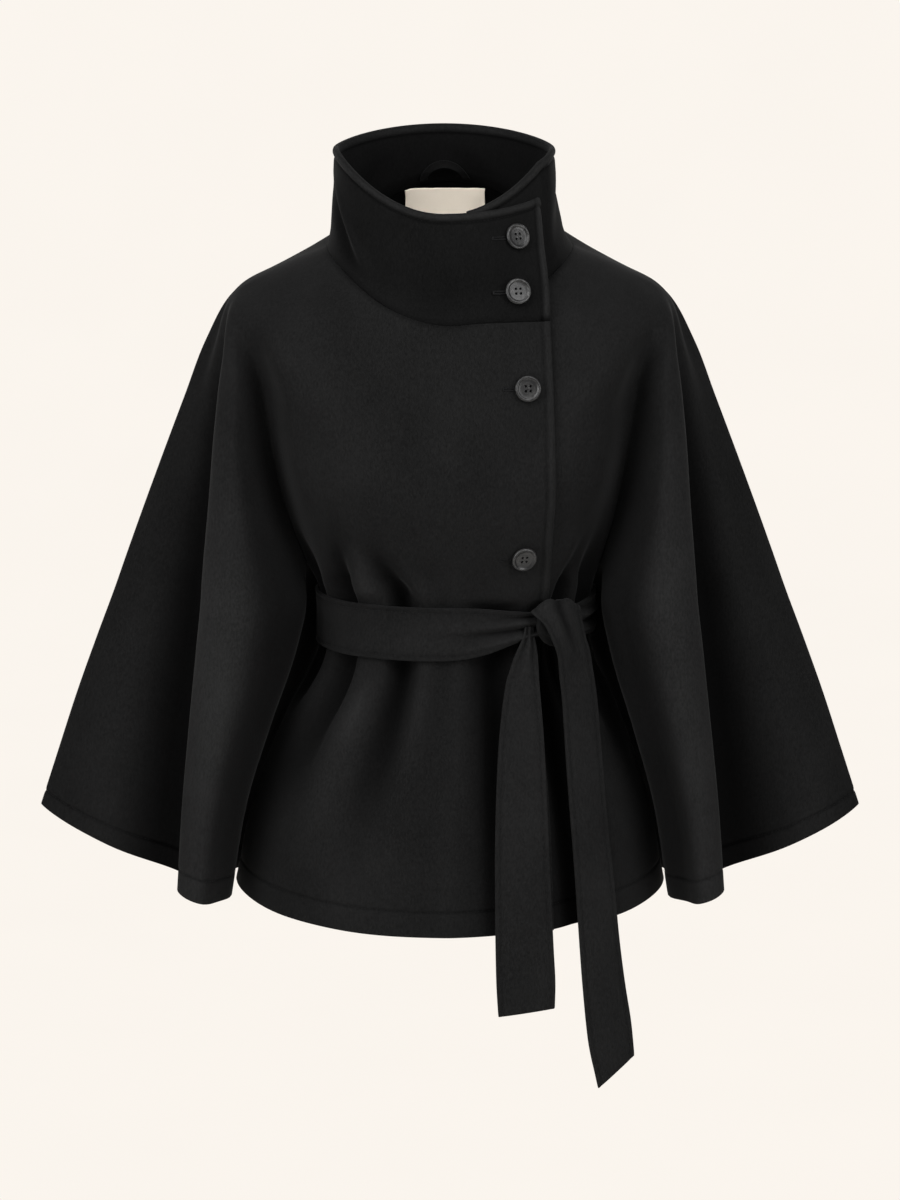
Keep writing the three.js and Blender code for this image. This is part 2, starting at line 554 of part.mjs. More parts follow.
function collarGrid() {
  const columns = [];
  for (let k = TAB_COLUMNS; k >= 1; k--) columns.push({ share: k / TAB_COLUMNS, at: (h) => tabPoint(k / TAB_COLUMNS, h) });
  const steps = Math.round(-UNDER_END / COLLAR_STEP);
  for (let k = 0; k <= steps; k++) {
    const angle = (UNDER_END * k) / steps;
    columns.push({ angle, at: (h) => collarRing(angle, h) });
  }
  const grid = COLLAR_PROFILE.map(({ height }) => columns.map((column) => ({ point: column.at(height), height, column })));
  return grid.map((row, i) => row.map((cell, j) => {
    const down = grid[Math.max(0, i - 1)][j].point.clone().sub(grid[Math.min(grid.length - 1, i + 1)][j].point);
    const along = row[Math.min(row.length - 1, j + 1)].point.clone().sub(row[Math.max(0, j - 1)].point);
    const normal = i === 0 ? neckNormal(cell.point) : along.cross(down).normalize();
    const left = 360 + (cell.column.angle ?? 0);
    const { from, to, rise } = COLLAR_EASE;
    const ease = rise * cell.height;
    const under = cell.column.angle < -180 ? 1 - smooth(from + ease, to + ease, left) : 0;
    const push = -under * lapDrop(0) - buckleDepth(cell.column.angle ?? 0, cell.height);
    return {
      point: cell.point.clone().addScaledVector(normal, push),
      normal,
      thickness: DOUBLE_CLOTH + (i === grid.length - 1 ? COLLAR_RIM : 0),
    };
  }));
}

// The belt lies over the panels, from its top to its bottom edge, drawn in towards its knot.
const BELT = { top: -340, bottom: -396, knotX: 92, narrowest: 24, narrowZ: -361, reach: 52 };
const BELT_OUT = BELT_GAP + DOUBLE_CLOTH;
const BELT_ROWS = 4;
const beltRing = (z) => BELT_TOP + (RINGS[BELT_TOP].z - z) / (RINGS[BELT_TOP].z - RINGS[BELT_TOP + 1].z);

function beltGrid() {
  const across = BODY_COLUMNS;
  const places = [
    ...across.map((a) => ({ side: 1, face: 1, across: a })),
    ...across.slice(0, -1).reverse().map((a) => ({ side: 1, face: -1, across: a })),
    ...across.slice(1).map((a) => ({ side: -1, face: -1, across: a })),
    ...across.slice(1, -1).reverse().map((a) => ({ side: -1, face: 1, across: a })),
  ];
  const rows = [];
  for (let i = 0; i <= BELT_ROWS; i++) {
    rows.push(places.map((place) => {
      const { x } = basePoint(place.side, place.face, "body", place.across, BELT_TOP + 0.4);
      const near = place.face > 0 ? Math.exp(-(((x - BELT.knotX) / BELT.reach) ** 2)) : 0;
      const top = lerp(BELT.top, BELT.narrowZ + BELT.narrowest / 2, near);
      const bottom = lerp(BELT.bottom, BELT.narrowZ - BELT.narrowest / 2, near);
      return pointAt({ ...place, ring: beltRing(lerp(top, bottom, i / BELT_ROWS)) }, BELT_OUT);
    }));
  }
  return rows;
}

// The point of the torso's front, moved out by push, that lies at a given X and Z.
function faceAt(x, z, push) {
  let [dx, dz] = [0, 0];
  let point = null;
  for (let pass = 0; pass < 6; pass++) {
    point = pointAt(placeAt(x + dx, z + dz), push).point;
    dx += x - point.x;
    dz += z - point.z;
  }
  return vec(x, point.y, z);
}

// The knot is a rounded lump of folded belt on the band.
const KNOT = { x: 106, z: -361, halfWidth: 22, halfHeight: 24, rise: 14, edge: 3, turns: 18, rings: 4 };

function knotSheet() {
  const outer = [];
  const inner = [];
  const add = (u, v) => {
    const back = faceAt(KNOT.x + KNOT.halfWidth * u, KNOT.z + KNOT.halfHeight * v, BELT_OUT);
    const rise = KNOT.edge + (KNOT.rise - KNOT.edge) * Math.sqrt(Math.max(0, 1 - u ** 2 - v ** 2));
    inner.push(back.add(vec(0, -LAP_GAP, 0)));
    outer.push(back.clone().add(vec(0, -rise, 0)));
    return outer.length - 1;
  };
  const faces = [];
  const middle = add(0, 0);
  let last = null;
  for (let r = 1; r <= KNOT.rings; r++) {
    const reach = Math.sin((Math.PI / 2) * (r / KNOT.rings));
    const ring = [];
    for (let t = 0; t < KNOT.turns; t++) {
      const angle = (2 * Math.PI * t) / KNOT.turns;
      ring.push(add(reach * Math.cos(angle), reach * Math.sin(angle)));
    }
    ring.forEach((a, t) => {
      const b = ring[(t + 1) % KNOT.turns];
      if (!last) faces.push([middle, a, b]);
      else faces.push([last[t], a, b], [last[t], b, last[(t + 1) % KNOT.turns]]);
    });
    last = ring;
  }
  return closedSheet(outer, inner, faces);
}

// The belt's two ends hang from the knot. Each row gives a tail's two edges at a height, and how far the
// cloth bows out between them. The front tail comes over the knot, and both hang free below the hem.
const TAIL_COLUMNS = 4;
const REAR_TAIL = [
  { z: -367, leftX: 71, leftY: -97.6, rightX: 82.5, rightY: -93.4, bow: 0.5 },
  { z: -379, leftX: 67, leftY: -99.8, rightX: 85, rightY: -94.6, bow: 0.6 },
  { z: -389, leftX: 63, leftY: -102, rightX: 86, rightY: -95.8, bow: 0.8 },
  { z: -402, leftX: 59, leftY: -104, rightX: 87, rightY: -97, bow: 1 },
  { z: -419, leftX: 54, leftY: -110.5, rightX: 88, rightY: -101, bow: 1.5 },
  { z: -466, leftX: 48, leftY: -127, rightX: 92, rightY: -116, bow: 2 },
  { z: -524, leftX: 45, leftY: -139, rightX: 95, rightY: -128, bow: 2 },
  { z: -573, leftX: 44, leftY: -147, rightX: 97, rightY: -136.5, bow: 2 },
  { z: -622, leftX: 44, leftY: -152.5, rightX: 99.5, rightY: -142, bow: 2 },
  { z: -672, leftX: 44.5, leftY: -156.5, rightX: 102, rightY: -146, bow: 2 },
  { z: -710, leftX: 45.5, leftY: -156.5, rightX: 104, rightY: -146, bow: 2 },
  { z: -742, leftX: 48, leftY: -156, rightX: 103, rightY: -146.5, bow: 2 },
];
const FRONT_TAIL = [
  { z: -333, leftX: 89, leftY: -93, rightX: 126, rightY: -72, bow: 2 },
  { z: -340, leftX: 88, leftY: -101.5, rightX: 128, rightY: -76.5, bow: 7.5 },
  { z: -348, leftX: 89, leftY: -107.5, rightX: 129, rightY: -78.5, bow: 7.5 },
  { z: -361, leftX: 94, leftY: -111, rightX: 131, rightY: -80, bow: 6.5 },
  { z: -375, leftX: 101, leftY: -110, rightX: 134, rightY: -80, bow: 4 },
  { z: -389, leftX: 106, leftY: -107, rightX: 138, rightY: -80, bow: 2 },
  { z: -408, leftX: 108, leftY: -105.5, rightX: 141, rightY: -79, bow: 1 },
  { z: -434, leftX: 111, leftY: -107, rightX: 145, rightY: -80, bow: 1 },
  { z: -466, leftX: 113, leftY: -111, rightX: 148, rightY: -84, bow: 1.5 },
  { z: -525, leftX: 117, leftY: -121, rightX: 153, rightY: -95, bow: 2 },
  { z: -574, leftX: 121, leftY: -129, rightX: 157.5, rightY: -105, bow: 2 },
  { z: -622, leftX: 124.5, leftY: -134, rightX: 163, rightY: -110, bow: 2 },
  { z: -673, leftX: 128, leftY: -138, rightX: 168, rightY: -114, bow: 2 },
  { z: -719, leftX: 131.5, leftY: -139, rightX: 174, rightY: -116, bow: 2 },
  { z: -765, leftX: 135, leftY: -140, rightX: 179.5, rightY: -117, bow: 2 },
  { z: -792, leftX: 138.5, leftY: -140, rightX: 183.5, rightY: -118, bow: 1.5 },
  { z: -806, leftX: 141.5, leftY: -138.5, rightX: 180, rightY: -119.5, bow: 1.2 },
  { z: -822, leftX: 147, leftY: -135, rightX: 151, rightY: -133, bow: 0.5 },
];

function tailGrid(table) {
  return table.map((row, i) => {
    const cells = [];
    const [above, below] = [table[Math.max(0, i - 1)], table[Math.min(table.length - 1, i + 1)]];
    const across = vec(row.rightX - row.leftX, row.rightY - row.leftY, 0);
    const down = vec((below.leftX + below.rightX - above.leftX - above.rightX) / 2,
      (below.leftY + below.rightY - above.leftY - above.rightY) / 2, below.z - above.z);
    const normal = down.cross(across).normalize();
    if (normal.y > 0) normal.negate();
    for (let j = 0; j <= TAIL_COLUMNS; j++) {
      const t = j / TAIL_COLUMNS;
      const point = vec(lerp(row.leftX, row.rightX, t), lerp(row.leftY, row.rightY, t) - row.bow * 4 * t * (1 - t), row.z);
      cells.push({ point, normal: normal.clone() });
    }
    return cells;
  });
}

// Buttons: a disc with a sunken face and four holes, its flat back just clear of the cloth under it.
const BUTTON_PLACES = [
  { name: "button_1", x: 63.8, z: 18.2, on: "collar" },
  { name: "button_2", x: 64.7, z: -32.2, on: "collar" },
  { name: "button_3", x: 74.3, z: -123.1, on: "front" },
  { name: "button_4", x: 71.2, z: -290.6, on: "front" },
];

// A geometry as a solid that can be cut, and back.
function solidOf(geometry) {
  const plain = geometry.clone().deleteAttribute("normal").deleteAttribute("uv");
  const merged = mergeVertices(plain, 1e-4);
  return new wasm.Manifold(new wasm.Mesh({
    numProp: 3,
    vertProperties: merged.getAttribute("position").array,
    triVerts: new Uint32Array(merged.getIndex().array),
  }));
}

function geometryOf(solid) {
  const { vertProperties, triVerts } = solid.getMesh();
  const geometry = new THREE.BufferGeometry();
  geometry.setAttribute("position", new THREE.Float32BufferAttribute(vertProperties, 3));
  geometry.setIndex([...triVerts]);
  geometry.computeVertexNormals();
  return geometry;
}

// A button lying on the plane z = 0, facing +z.
function buttonGeometry() {
  const { radius, thickness, bevel, rim, dish, holeRadius, holeSpacing } = BUTTON;
  const profile = [
    [0, 0],
    [radius - bevel, 0],
    [radius, bevel],
    [radius, thickness - bevel],
    [radius - bevel, thickness],
    [radius - rim, thickness],
    [radius - rim - dish, thickness - dish],
    [0, thickness - dish],
  ].map(([across, up]) => new THREE.Vector2(across, up));
  let solid = solidOf(new THREE.LatheGeometry(profile, BUTTON_SIDES).rotateX(Math.PI / 2));
  for (const [i, j] of [[-1, -1], [-1, 1], [1, -1], [1, 1]]) {
    const hole = new THREE.CylinderGeometry(holeRadius, holeRadius, thickness * 3, HOLE_SIDES)
      .rotateX(Math.PI / 2)
      .translate((i * holeSpacing) / 2, (j * holeSpacing) / 2, 0);
    solid = solid.subtract(solidOf(hole));
  }
  return geometryOf(solid);
}

// The outer surface where a button sits, as a function of X and Z.
function tabAt(x, z) {
  let [share, height] = [0.6, 0.5];
  for (let pass = 0; pass < 30; pass++) {
    const point = tabPoint(share, height);
    share += (x - point.x) / 110;
    height = THREE.MathUtils.clamp(height + (z - point.z) / 115, 0, 1);
  }
  return tabPoint(share, height);
}

function buttonMatrix({ x, z, on }) {
  const at = (dx, dz) => on === "collar" ? tabAt(x + dx, z + dz)
    : pointAt(placeAt(x + dx, z + dz), LAP_RISE).point;
  const centre = at(0, 0);
  const normal = at(0, -4).sub(at(0, 4)).cross(at(4, 0).sub(at(-4, 0))).normalize();
  if (normal.y > 0) normal.negate();
  // The cloth may rise above the disc's plane near its rim, so the disc stands clear of its highest point.
  let rise = 0;
  for (let k = 0; k < 12; k++) {
    const angle = (Math.PI * k) / 6;
    const rim = at(BUTTON.radius * Math.cos(angle), BUTTON.radius * Math.sin(angle));
    rise = Math.max(rise, rim.sub(centre).dot(normal));
  }
  const right = UP.clone().cross(normal).normalize();
  const above = normal.clone().cross(right);
  return new THREE.Matrix4().makeBasis(right, above, normal)
    .setPosition(centre.addScaledVector(normal, rise + BUTTON_GAP));
}

// The label lies on the inside of the backs, under the neck seam.
const LABEL_COLUMNS = 12;
const LABEL_ROWS = 4;
const INSIDE_GAP = 0.7;
function labelGrid() {
  const rows = [];
  for (let i = 0; i <= LABEL_ROWS; i++) {
    const row = [];
    for (let j = 0; j <= LABEL_COLUMNS; j++) {
      const x = LABEL.shiftX + LABEL.width * (j / LABEL_COLUMNS - 0.5);
      const z = NECK.backZ - LABEL.below - LABEL.height * (i / LABEL_ROWS);
      row.push(pointAt(placeAt(x, z, -1), -CLOTH - INSIDE_GAP));
    }
    rows.push(row);
  }
  return rows;
}

// The hanger loop is a narrow strap that arches up from the neck seam, inside the back of the collar.
const LOOP_COLUMNS = 14;
function loopGrid() {
  const { width, span, rise, standOff } = HANGER_LOOP;
  const collarHeight = COLLAR_TOP.backZ - NECK.backZ;
  return [0, 0.5, 1].map((share) => {
    const row = [];
    for (let j = 0; j <= LOOP_COLUMNS; j++) {
      const turn = Math.PI * (j / LOOP_COLUMNS);
      const x = COLLAR_TOP.shiftX - (span / 2 + width * (0.5 - share)) * Math.cos(turn);
      const above = 2.5 + (rise + width * (0.5 - share)) * Math.sin(turn);
      const angle = 180 - THREE.MathUtils.radToDeg(Math.asin((x + 2) / NECK.half));
      const height = above / collarHeight;
      const point = collarRing(angle, height);
      const normal = collarRing(angle, height).sub(vec(0, 0, point.z)).setZ(0).normalize();
      const off = DOUBLE_CLOTH * 1.5 + INSIDE_GAP + standOff * Math.sin(turn) ** 2;
      row.push({ point: point.addScaledVector(normal, -off), normal });
    }
    return row;
  });
}

const coat = new THREE.Group();
const wool = () => new THREE.MeshStandardMaterial({ color: 0x141414, roughness: 0.95, metalness: 0 });
function addPiece(name, geometry, material = wool()) {
  const mesh = new THREE.Mesh(geometry, material);
  mesh.name = name;
  coat.add(mesh);
  return mesh;
}

addPiece("front_right", rightFront());
addPiece("front_left", leftFront());
addPiece("back_right", backHalf(-1));
addPiece("back_left", backHalf(1));
addPiece("collar", gridSheet(collarGrid(), DOUBLE_CLOTH));
addPiece("belt", gridSheet(beltGrid(), DOUBLE_CLOTH, true));
addPiece("belt_knot", knotSheet());
addPiece("belt_tail_front", gridSheet(tailGrid(FRONT_TAIL), DOUBLE_CLOTH));
addPiece("belt_tail_rear", gridSheet(tailGrid(REAR_TAIL), DOUBLE_CLOTH));
for (const place of BUTTON_PLACES) {
  const horn = new THREE.MeshStandardMaterial({ color: 0x2a211a, roughness: 0.3, metalness: 0 });
  addPiece(place.name, buttonGeometry(), horn).applyMatrix4(buttonMatrix(place));
}
addPiece("hanger_loop", gridSheet(loopGrid(), HANGER_LOOP.thickness));
addPiece("label", gridSheet(labelGrid(), LABEL.thickness),
  new THREE.MeshStandardMaterial({ color: 0xd8cdb4, roughness: 0.7, metalness: 0 }));

export default coat;
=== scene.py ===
"""A belted wool cape coat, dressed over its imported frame.

The coat's form is worked out in millimetres in the part's own frame: X runs to the wearer's left, Y to the
back and Z up, from the middle of the neck base. Meshes are made in metres.
"""
import logging
import math
from dataclasses import dataclass, field
from enum import Enum
from typing import Callable, Sequence

import bmesh
import bpy
import numpy as np
from mathutils import Matrix, Vector


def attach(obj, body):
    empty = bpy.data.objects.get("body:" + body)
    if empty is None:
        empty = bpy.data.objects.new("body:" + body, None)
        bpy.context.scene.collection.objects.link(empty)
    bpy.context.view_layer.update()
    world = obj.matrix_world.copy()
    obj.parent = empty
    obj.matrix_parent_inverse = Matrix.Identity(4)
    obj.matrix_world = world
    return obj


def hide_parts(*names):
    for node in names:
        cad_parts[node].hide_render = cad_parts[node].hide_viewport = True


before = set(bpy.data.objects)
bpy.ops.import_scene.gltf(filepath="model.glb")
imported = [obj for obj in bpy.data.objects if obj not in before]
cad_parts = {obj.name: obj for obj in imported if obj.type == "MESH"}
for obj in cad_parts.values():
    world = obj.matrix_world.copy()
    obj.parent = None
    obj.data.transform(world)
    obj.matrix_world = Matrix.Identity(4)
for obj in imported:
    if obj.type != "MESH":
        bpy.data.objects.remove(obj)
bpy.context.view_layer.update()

LOG = logging.getLogger("coat")
MM = 0.001
Array = np.ndarray
Triple = tuple[float, float, float]
Piece, Mesh, Material, Socket = bpy.types.Object, bmesh.types.BMesh, bpy.types.Material, bpy.types.NodeSocket

# Driving dimensions, in millimetres
CLOTH = 2.4
DOUBLE_CLOTH = 3.2
SEAM_PRESS = 0.25
LAP_GAP = 0.9
LAP_RISE = 0.6
NECK = {"half": 121.0, "fore": 118.0, "aft": 92.0, "front_z": -63.0, "side_z": 0.0, "back_z": 55.0, "sweep": 2.0}
COLLAR_TOP = {"half": 107.0, "fore": 94.0, "aft": 77.0, "front_z": 42.0, "side_z": 97.0, "back_z": 113.0,
              "sweep": 1.6}
COLLAR_SHIFT_X = -6.0
WAIST_SHIFT_X = 6.5
UNDERLAP_X = 22.0
LAP_SEAM_Z = -61.0
LAP_SEAM_DIP = 2.0
NOSE_RADIUS = 9.0
BELT_OUT = 1.6 + DOUBLE_CLOTH

# A distance in millimetres that is beyond any rolled rim or line of stitches
FAR = 99.0

# Places on the pattern: rings down it from 0 at the neck, and shares of the way across it. The panels start just
# above ring 0, so that their top edge presses on the collar's lower edge.
NECK_RING = -0.005
LAP_LEVEL_RINGS = 2.0
SIDE_SEAM = 0.4

# How full the rings are, how deep the flutes are behind, the painted shade of the cloth's inside, and the painted
# shade for each millimetre pressed in under a line (a painted highlight where it stands out)
FULLNESS = 0.8
BACK_FLUTE = 0.8
INSIDE_PAINTED_SHADE = -0.75
PAINTED_SHADE_PER_MM = 0.42


class Side(Enum):
    """The wearer's side that a quarter of the coat lies on."""

    RIGHT = -1
    LEFT = 1


class Face(Enum):
    """Whether a quarter of the coat is in front or behind."""

    BACK = -1
    FRONT = 1


class Part(Enum):
    """The stretch of a quarter: round the torso, or out over the wing sleeve."""

    BODY = "body"
    WING = "wing"


@dataclass(frozen=True)
class Flute:
    """Where the wing's hanging flute runs across one ring, in millimetres."""

    valley_x: float
    valley_y: float
    inner_x: float
    inner_back_x: float
    inner_y: float
    flute_y: float
    crest_x: float
    tuck_x: float
    tuck_y: float


@dataclass(frozen=True)
class Ring:
    """One ring round the coat, in millimetres."""

    name: str
    z: float
    z_back: float
    arm_x: float
    arm_z: float
    body: float
    fore: float
    aft: float
    flute: Flute | None = None
    sweep: float = 2.0


RINGS = (
    Ring("neck", -63, 55, 121, 0, 121, 118, 92),
    Ring("yoke", -105, 8, 168, -19, 168, 123, 108),
    Ring("shoulder", -150, -51, 212, -44, 212, 128, 120),
    Ring("armhole", -195, -108, 241, -93, 195, 133, 124, Flute(183, 50, 196, 196, 62, 72, 222, 220, 34)),
    Ring("chest", -235, -170, 262, -147, 186, 134, 119, Flute(174, 42, 192, 190, 66, 84, 229, 225, 38)),
    Ring("ribs", -282, -240, 293, -228, 165, 122, 106, Flute(161, 25, 174, 168, 62, 97, 235, 229, 42)),
    Ring("underarm", -318, -318, 324, -312, 146, 108, 95, Flute(146, 4, 153, 145, 56, 104, 241, 233, 44)),
    Ring("belt_top", -342, -342, 334, -340, 136, 101, 89, Flute(150, 0, 146, 129, 60, 106, 243, 235, 44)),
    Ring("belt_low", -396, -396, 353, -390, 135, 101, 89, Flute(158, 0, 156, 129, 66, 110, 250, 240, 46)),
    Ring("hip", -472, -472, 375, -450, 167, 125, 112, Flute(183, 0, 179, 156, 72, 115, 259, 248, 48)),
    Ring("thigh", -562, -562, 394, -507, 197, 142, 128, Flute(211, 0, 202, 190, 76, 119, 268, 256, 50)),
    Ring("hem", -662, -662, 413.5, -566, 217, 152, 138, Flute(230, 0, 217, 209, 78, 122, 275, 264, 50), 2.5),
)
LINE_NAMES = ("centre", "bust", "side", "valley", "inner", "flute", "crest", "tuck", "outer", "nose", "arm")
UNDERARM, BELT_TOP, HEM = ([ring.name for ring in RINGS].index(name) for name in ("underarm", "belt_top", "hem"))
VALLEY = LINE_NAMES.index("valley")
LINE_ACROSS = np.array([0, 0.14, 0.28, SIDE_SEAM, 0.48, 0.57, 0.66, 0.75, 0.87, 0.97, 1.0])
LINE_ANGLE = np.radians([0, 28, 52, 64, 69, 74, 79, 83, 86.5, 89, 90])
LINE_FOLLOWS = {1: (1, 1, 1, 1, 0.6, 0.3, 0.1, 0, 0, 0, 0), -1: (1, 1, 1, 1, 1, 0.3, 0.1, 0, 0, 0, 0)}


@dataclass(frozen=True)
class Fold:
    """A soft trough or ridge laid down one quarter of the torso.

    at_top, at_belt and at_low are where it runs across the pattern at its top, under the belt and at its
    bottom; width is across the pattern too, and depth is in millimetres, below 0 for a ridge.
    """

    side: Side
    face: Face
    at_top: float
    at_belt: float
    at_low: float
    width: float
    depth: float
    top: float
    bottom: float


RIGHT, LEFT, FRONT, BACK = Side.RIGHT, Side.LEFT, Face.FRONT, Face.BACK
FOLDS = (
    Fold(RIGHT, FRONT, 0.21, 0.278, 0.315, 0.025, 17, 4.3, 10.4),
    Fold(RIGHT, FRONT, 0.155, 0.113, 0.148, 0.025, 19, 4.6, 10.8),
    Fold(RIGHT, FRONT, 0.185, 0.195, 0.23, 0.026, -6, 4.6, 10.4),
    Fold(RIGHT, FRONT, 0.105, 0.068, 0.09, 0.022, -5, 4.8, 10.2),
    Fold(RIGHT, FRONT, 0.3, 0.33, 0.345, 0.014, -4, 5.0, 9.6),
    Fold(RIGHT, FRONT, 0.05, 0.03, 0.02, 0.03, 3, 6.4, 10.2),
    Fold(RIGHT, FRONT, 0.37, 0.366, 0.375, 0.014, 9, 4.8, 9.2),
    Fold(LEFT, FRONT, 0.335, 0.338, 0.345, 0.02, 12, 4.2, 10.0),
    Fold(LEFT, FRONT, 0.3, 0.272, 0.285, 0.022, 14, 4.2, 9.8),
    Fold(LEFT, FRONT, 0.26, 0.302, 0.315, 0.014, -5, 4.8, 9.4),
    Fold(LEFT, FRONT, 0.09, 0.085, 0.085, 0.042, 22, 6.6, 13.5),
    Fold(LEFT, FRONT, 0.21, 0.2, 0.185, 0.036, 25, 6.8, 15.0),
    Fold(RIGHT, BACK, 0.09, 0.07, 0.085, 0.032, 11, 4.3, 10.4),
    Fold(RIGHT, BACK, 0.215, 0.19, 0.205, 0.03, 13, 4.2, 10.2),
    Fold(RIGHT, BACK, 0.33, 0.31, 0.325, 0.027, 10, 4.6, 9.7),
    Fold(RIGHT, BACK, 0.15, 0.13, 0.145, 0.022, -5, 4.9, 9.8),
    Fold(RIGHT, BACK, 0.26, 0.25, 0.265, 0.018, 5, 5.2, 8.8),
    Fold(LEFT, BACK, 0.075, 0.09, 0.11, 0.034, 12, 4.4, 10.1),
    Fold(LEFT, BACK, 0.22, 0.2, 0.22, 0.029, 10, 4.7, 10.5),
    Fold(LEFT, BACK, 0.32, 0.3, 0.31, 0.028, 12, 4.4, 9.8),
    Fold(LEFT, BACK, 0.155, 0.145, 0.165, 0.022, -5, 5.1, 9.7),
    Fold(LEFT, BACK, 0.265, 0.25, 0.26, 0.017, 5, 5.1, 8.9),
)

# Soft troughs and crests down the wings, and bands down them of painted shade (above 0) and painted highlight (below
# 0).
# Each row is how far in, where across the pattern, and how wide.
WING_RELIEF = ((7, 0.525, 0.035), (-6, 0.6, 0.04), (9, 0.79, 0.045), (-2, 0.9, 0.045))
WING_EDGE_RELIEF = (6, 0.69, 0.045)
PAINTED_SHADE_AND_LIGHT = ((7, 0.455, 0.045), (20, 0.785, 0.05), (-1.5, 0.6, 0.04), (-5, 0.67, 0.04))
# The painted shade darkens the colour by a factor of e for each this many millimetres in, within these limits
PAINTED_SHADE_DEPTH = 12.0
PAINTED_SHADE_RANGE = (0.15, 1.75)


def smooth(low: float, high: float, value: Array | float) -> Array | float:
    """Eases from 0 at low to 1 at high."""
    t = np.clip((value - low) / (high - low), 0.0, 1.0)
    return t * t * (3 - 2 * t)


def lerp(start: Array | float, end: Array | float, share: Array | float) -> Array | float:
    """Goes a share of the way from start to end."""
    return start + (end - start) * share


def bell(distance: Array | float, width: float) -> Array | float:
    """A soft hump of height 1 that is width wide to each side."""
    return np.exp(-((distance / width) ** 2))


def bells(place: Array | float, rows: Sequence[Triple]) -> Array | float:
    """The sum of soft humps, given by rows of height, place and width."""
    return sum(height * bell(place - at, width) for height, at, width in rows)


def size(vectors: Array) -> Array:
    """The length of each vector, kept as a last axis of one."""
    return np.maximum(np.linalg.norm(vectors, axis=-1, keepdims=True), 1e-6)


def unit(vectors: Array) -> Array:
    """Each vector at a length of 1."""
    return vectors / size(vectors)


def parabola_tangent(last: Array, point: Array, following: Array) -> Array:
    """The tangent at point of the parabola through three points."""
    back, ahead = point - last, following - point
    before, after = size(back), size(ahead)
    return (ahead * (before / after) + back * (after / before)) / (before + after)


def hermite(start: Array, leaving: Array, end: Array, arriving: Array, t: Array) -> Array:
    """Points of smooth spans.

    Args:
        start: Where each span starts.
        leaving: Its tangent there.
        end: Where each span ends.
        arriving: Its tangent there.
        t: The share of the way along each span.

    Returns:
        One point for each span.
    """
    length = size(end - start)
    t2, t3 = t * t, t * t * t
    return (start * (2 * t3 - 3 * t2 + 1) + leaving * (t3 - 2 * t2 + t) * length
            + end * (3 * t2 - 2 * t3) + arriving * (t3 - t2) * length)


def finer(knots: Sequence[float], between: int) -> Array:
    """The knots with the gaps between them divided evenly, between to a gap."""
    knots = np.asarray(knots, float)
    steps = np.arange((len(knots) - 1) * between + 1) / between
    return np.interp(steps, np.arange(len(knots)), knots)


def smooth_rows(table: Array, between: int) -> Array:
    """Rows added between a table's rows, on smooth curves down its columns.

    Args:
        table: The rows, with any shape of row.
        between: How many steps each gap is divided into.

    Returns:
        The finer table.
    """
    table = np.asarray(table, float)
    slopes = np.gradient(table, axis=0)
    rows = []
    for i in range(len(table) - 1):
        for k in range(between):
            t = k / between
            t2, t3 = t * t, t ** 3
            rows.append(table[i] * (2 * t3 - 3 * t2 + 1) + slopes[i] * (t3 - 2 * t2 + t)
                        + table[i + 1] * (3 * t2 - 2 * t3) + slopes[i + 1] * (t3 - t2))
    rows.append(table[-1])
    return np.array(rows)


@dataclass
class Wall:
    """A stretch of cloth as rows of points on its outer face, with the way out and the thickness at each.

    lift is the painted light and shade at each point: above 0 it is paler, a painted highlight on a turned edge or
    a crest, below 0 darker, painted shade in a crease. inner_lift says the same of the wrong side, if it differs.
    """

    points: Array
    normals: Array
    thickness: Array
    lift: Array | float = 0.0
    inner_lift: float | None = None

    @classmethod
    def of(cls, points: Array, normals: Array, thickness: float, lift: Array | float = 0.0) -> "Wall":
        """A wall that is equally thick all over."""
        return cls(points, normals, np.full(points.shape[:2], float(thickness)), lift)

    def pressed(self, depth: Array) -> "Wall":
        """The wall with its outer face pressed in by depth, as under a row of stitches, with painted shade in the
        groove and a painted highlight where depth is below 0 and the face stands out.
        """
        # Painted shade in the pressed groove, painted highlight on a raised edge
        lift = self.lift - PAINTED_SHADE_PER_MM * np.maximum(depth, 0) + PAINTED_SHADE_PER_MM * np.maximum(-depth, 0)
        return Wall(self.points - self.normals * depth[..., None], self.normals, self.thickness - depth, lift,
                    self.inner_lift)

    def inner(self) -> Array:
        """The points of the cloth's other face."""
        return self.points - self.normals * self.thickness[..., None]


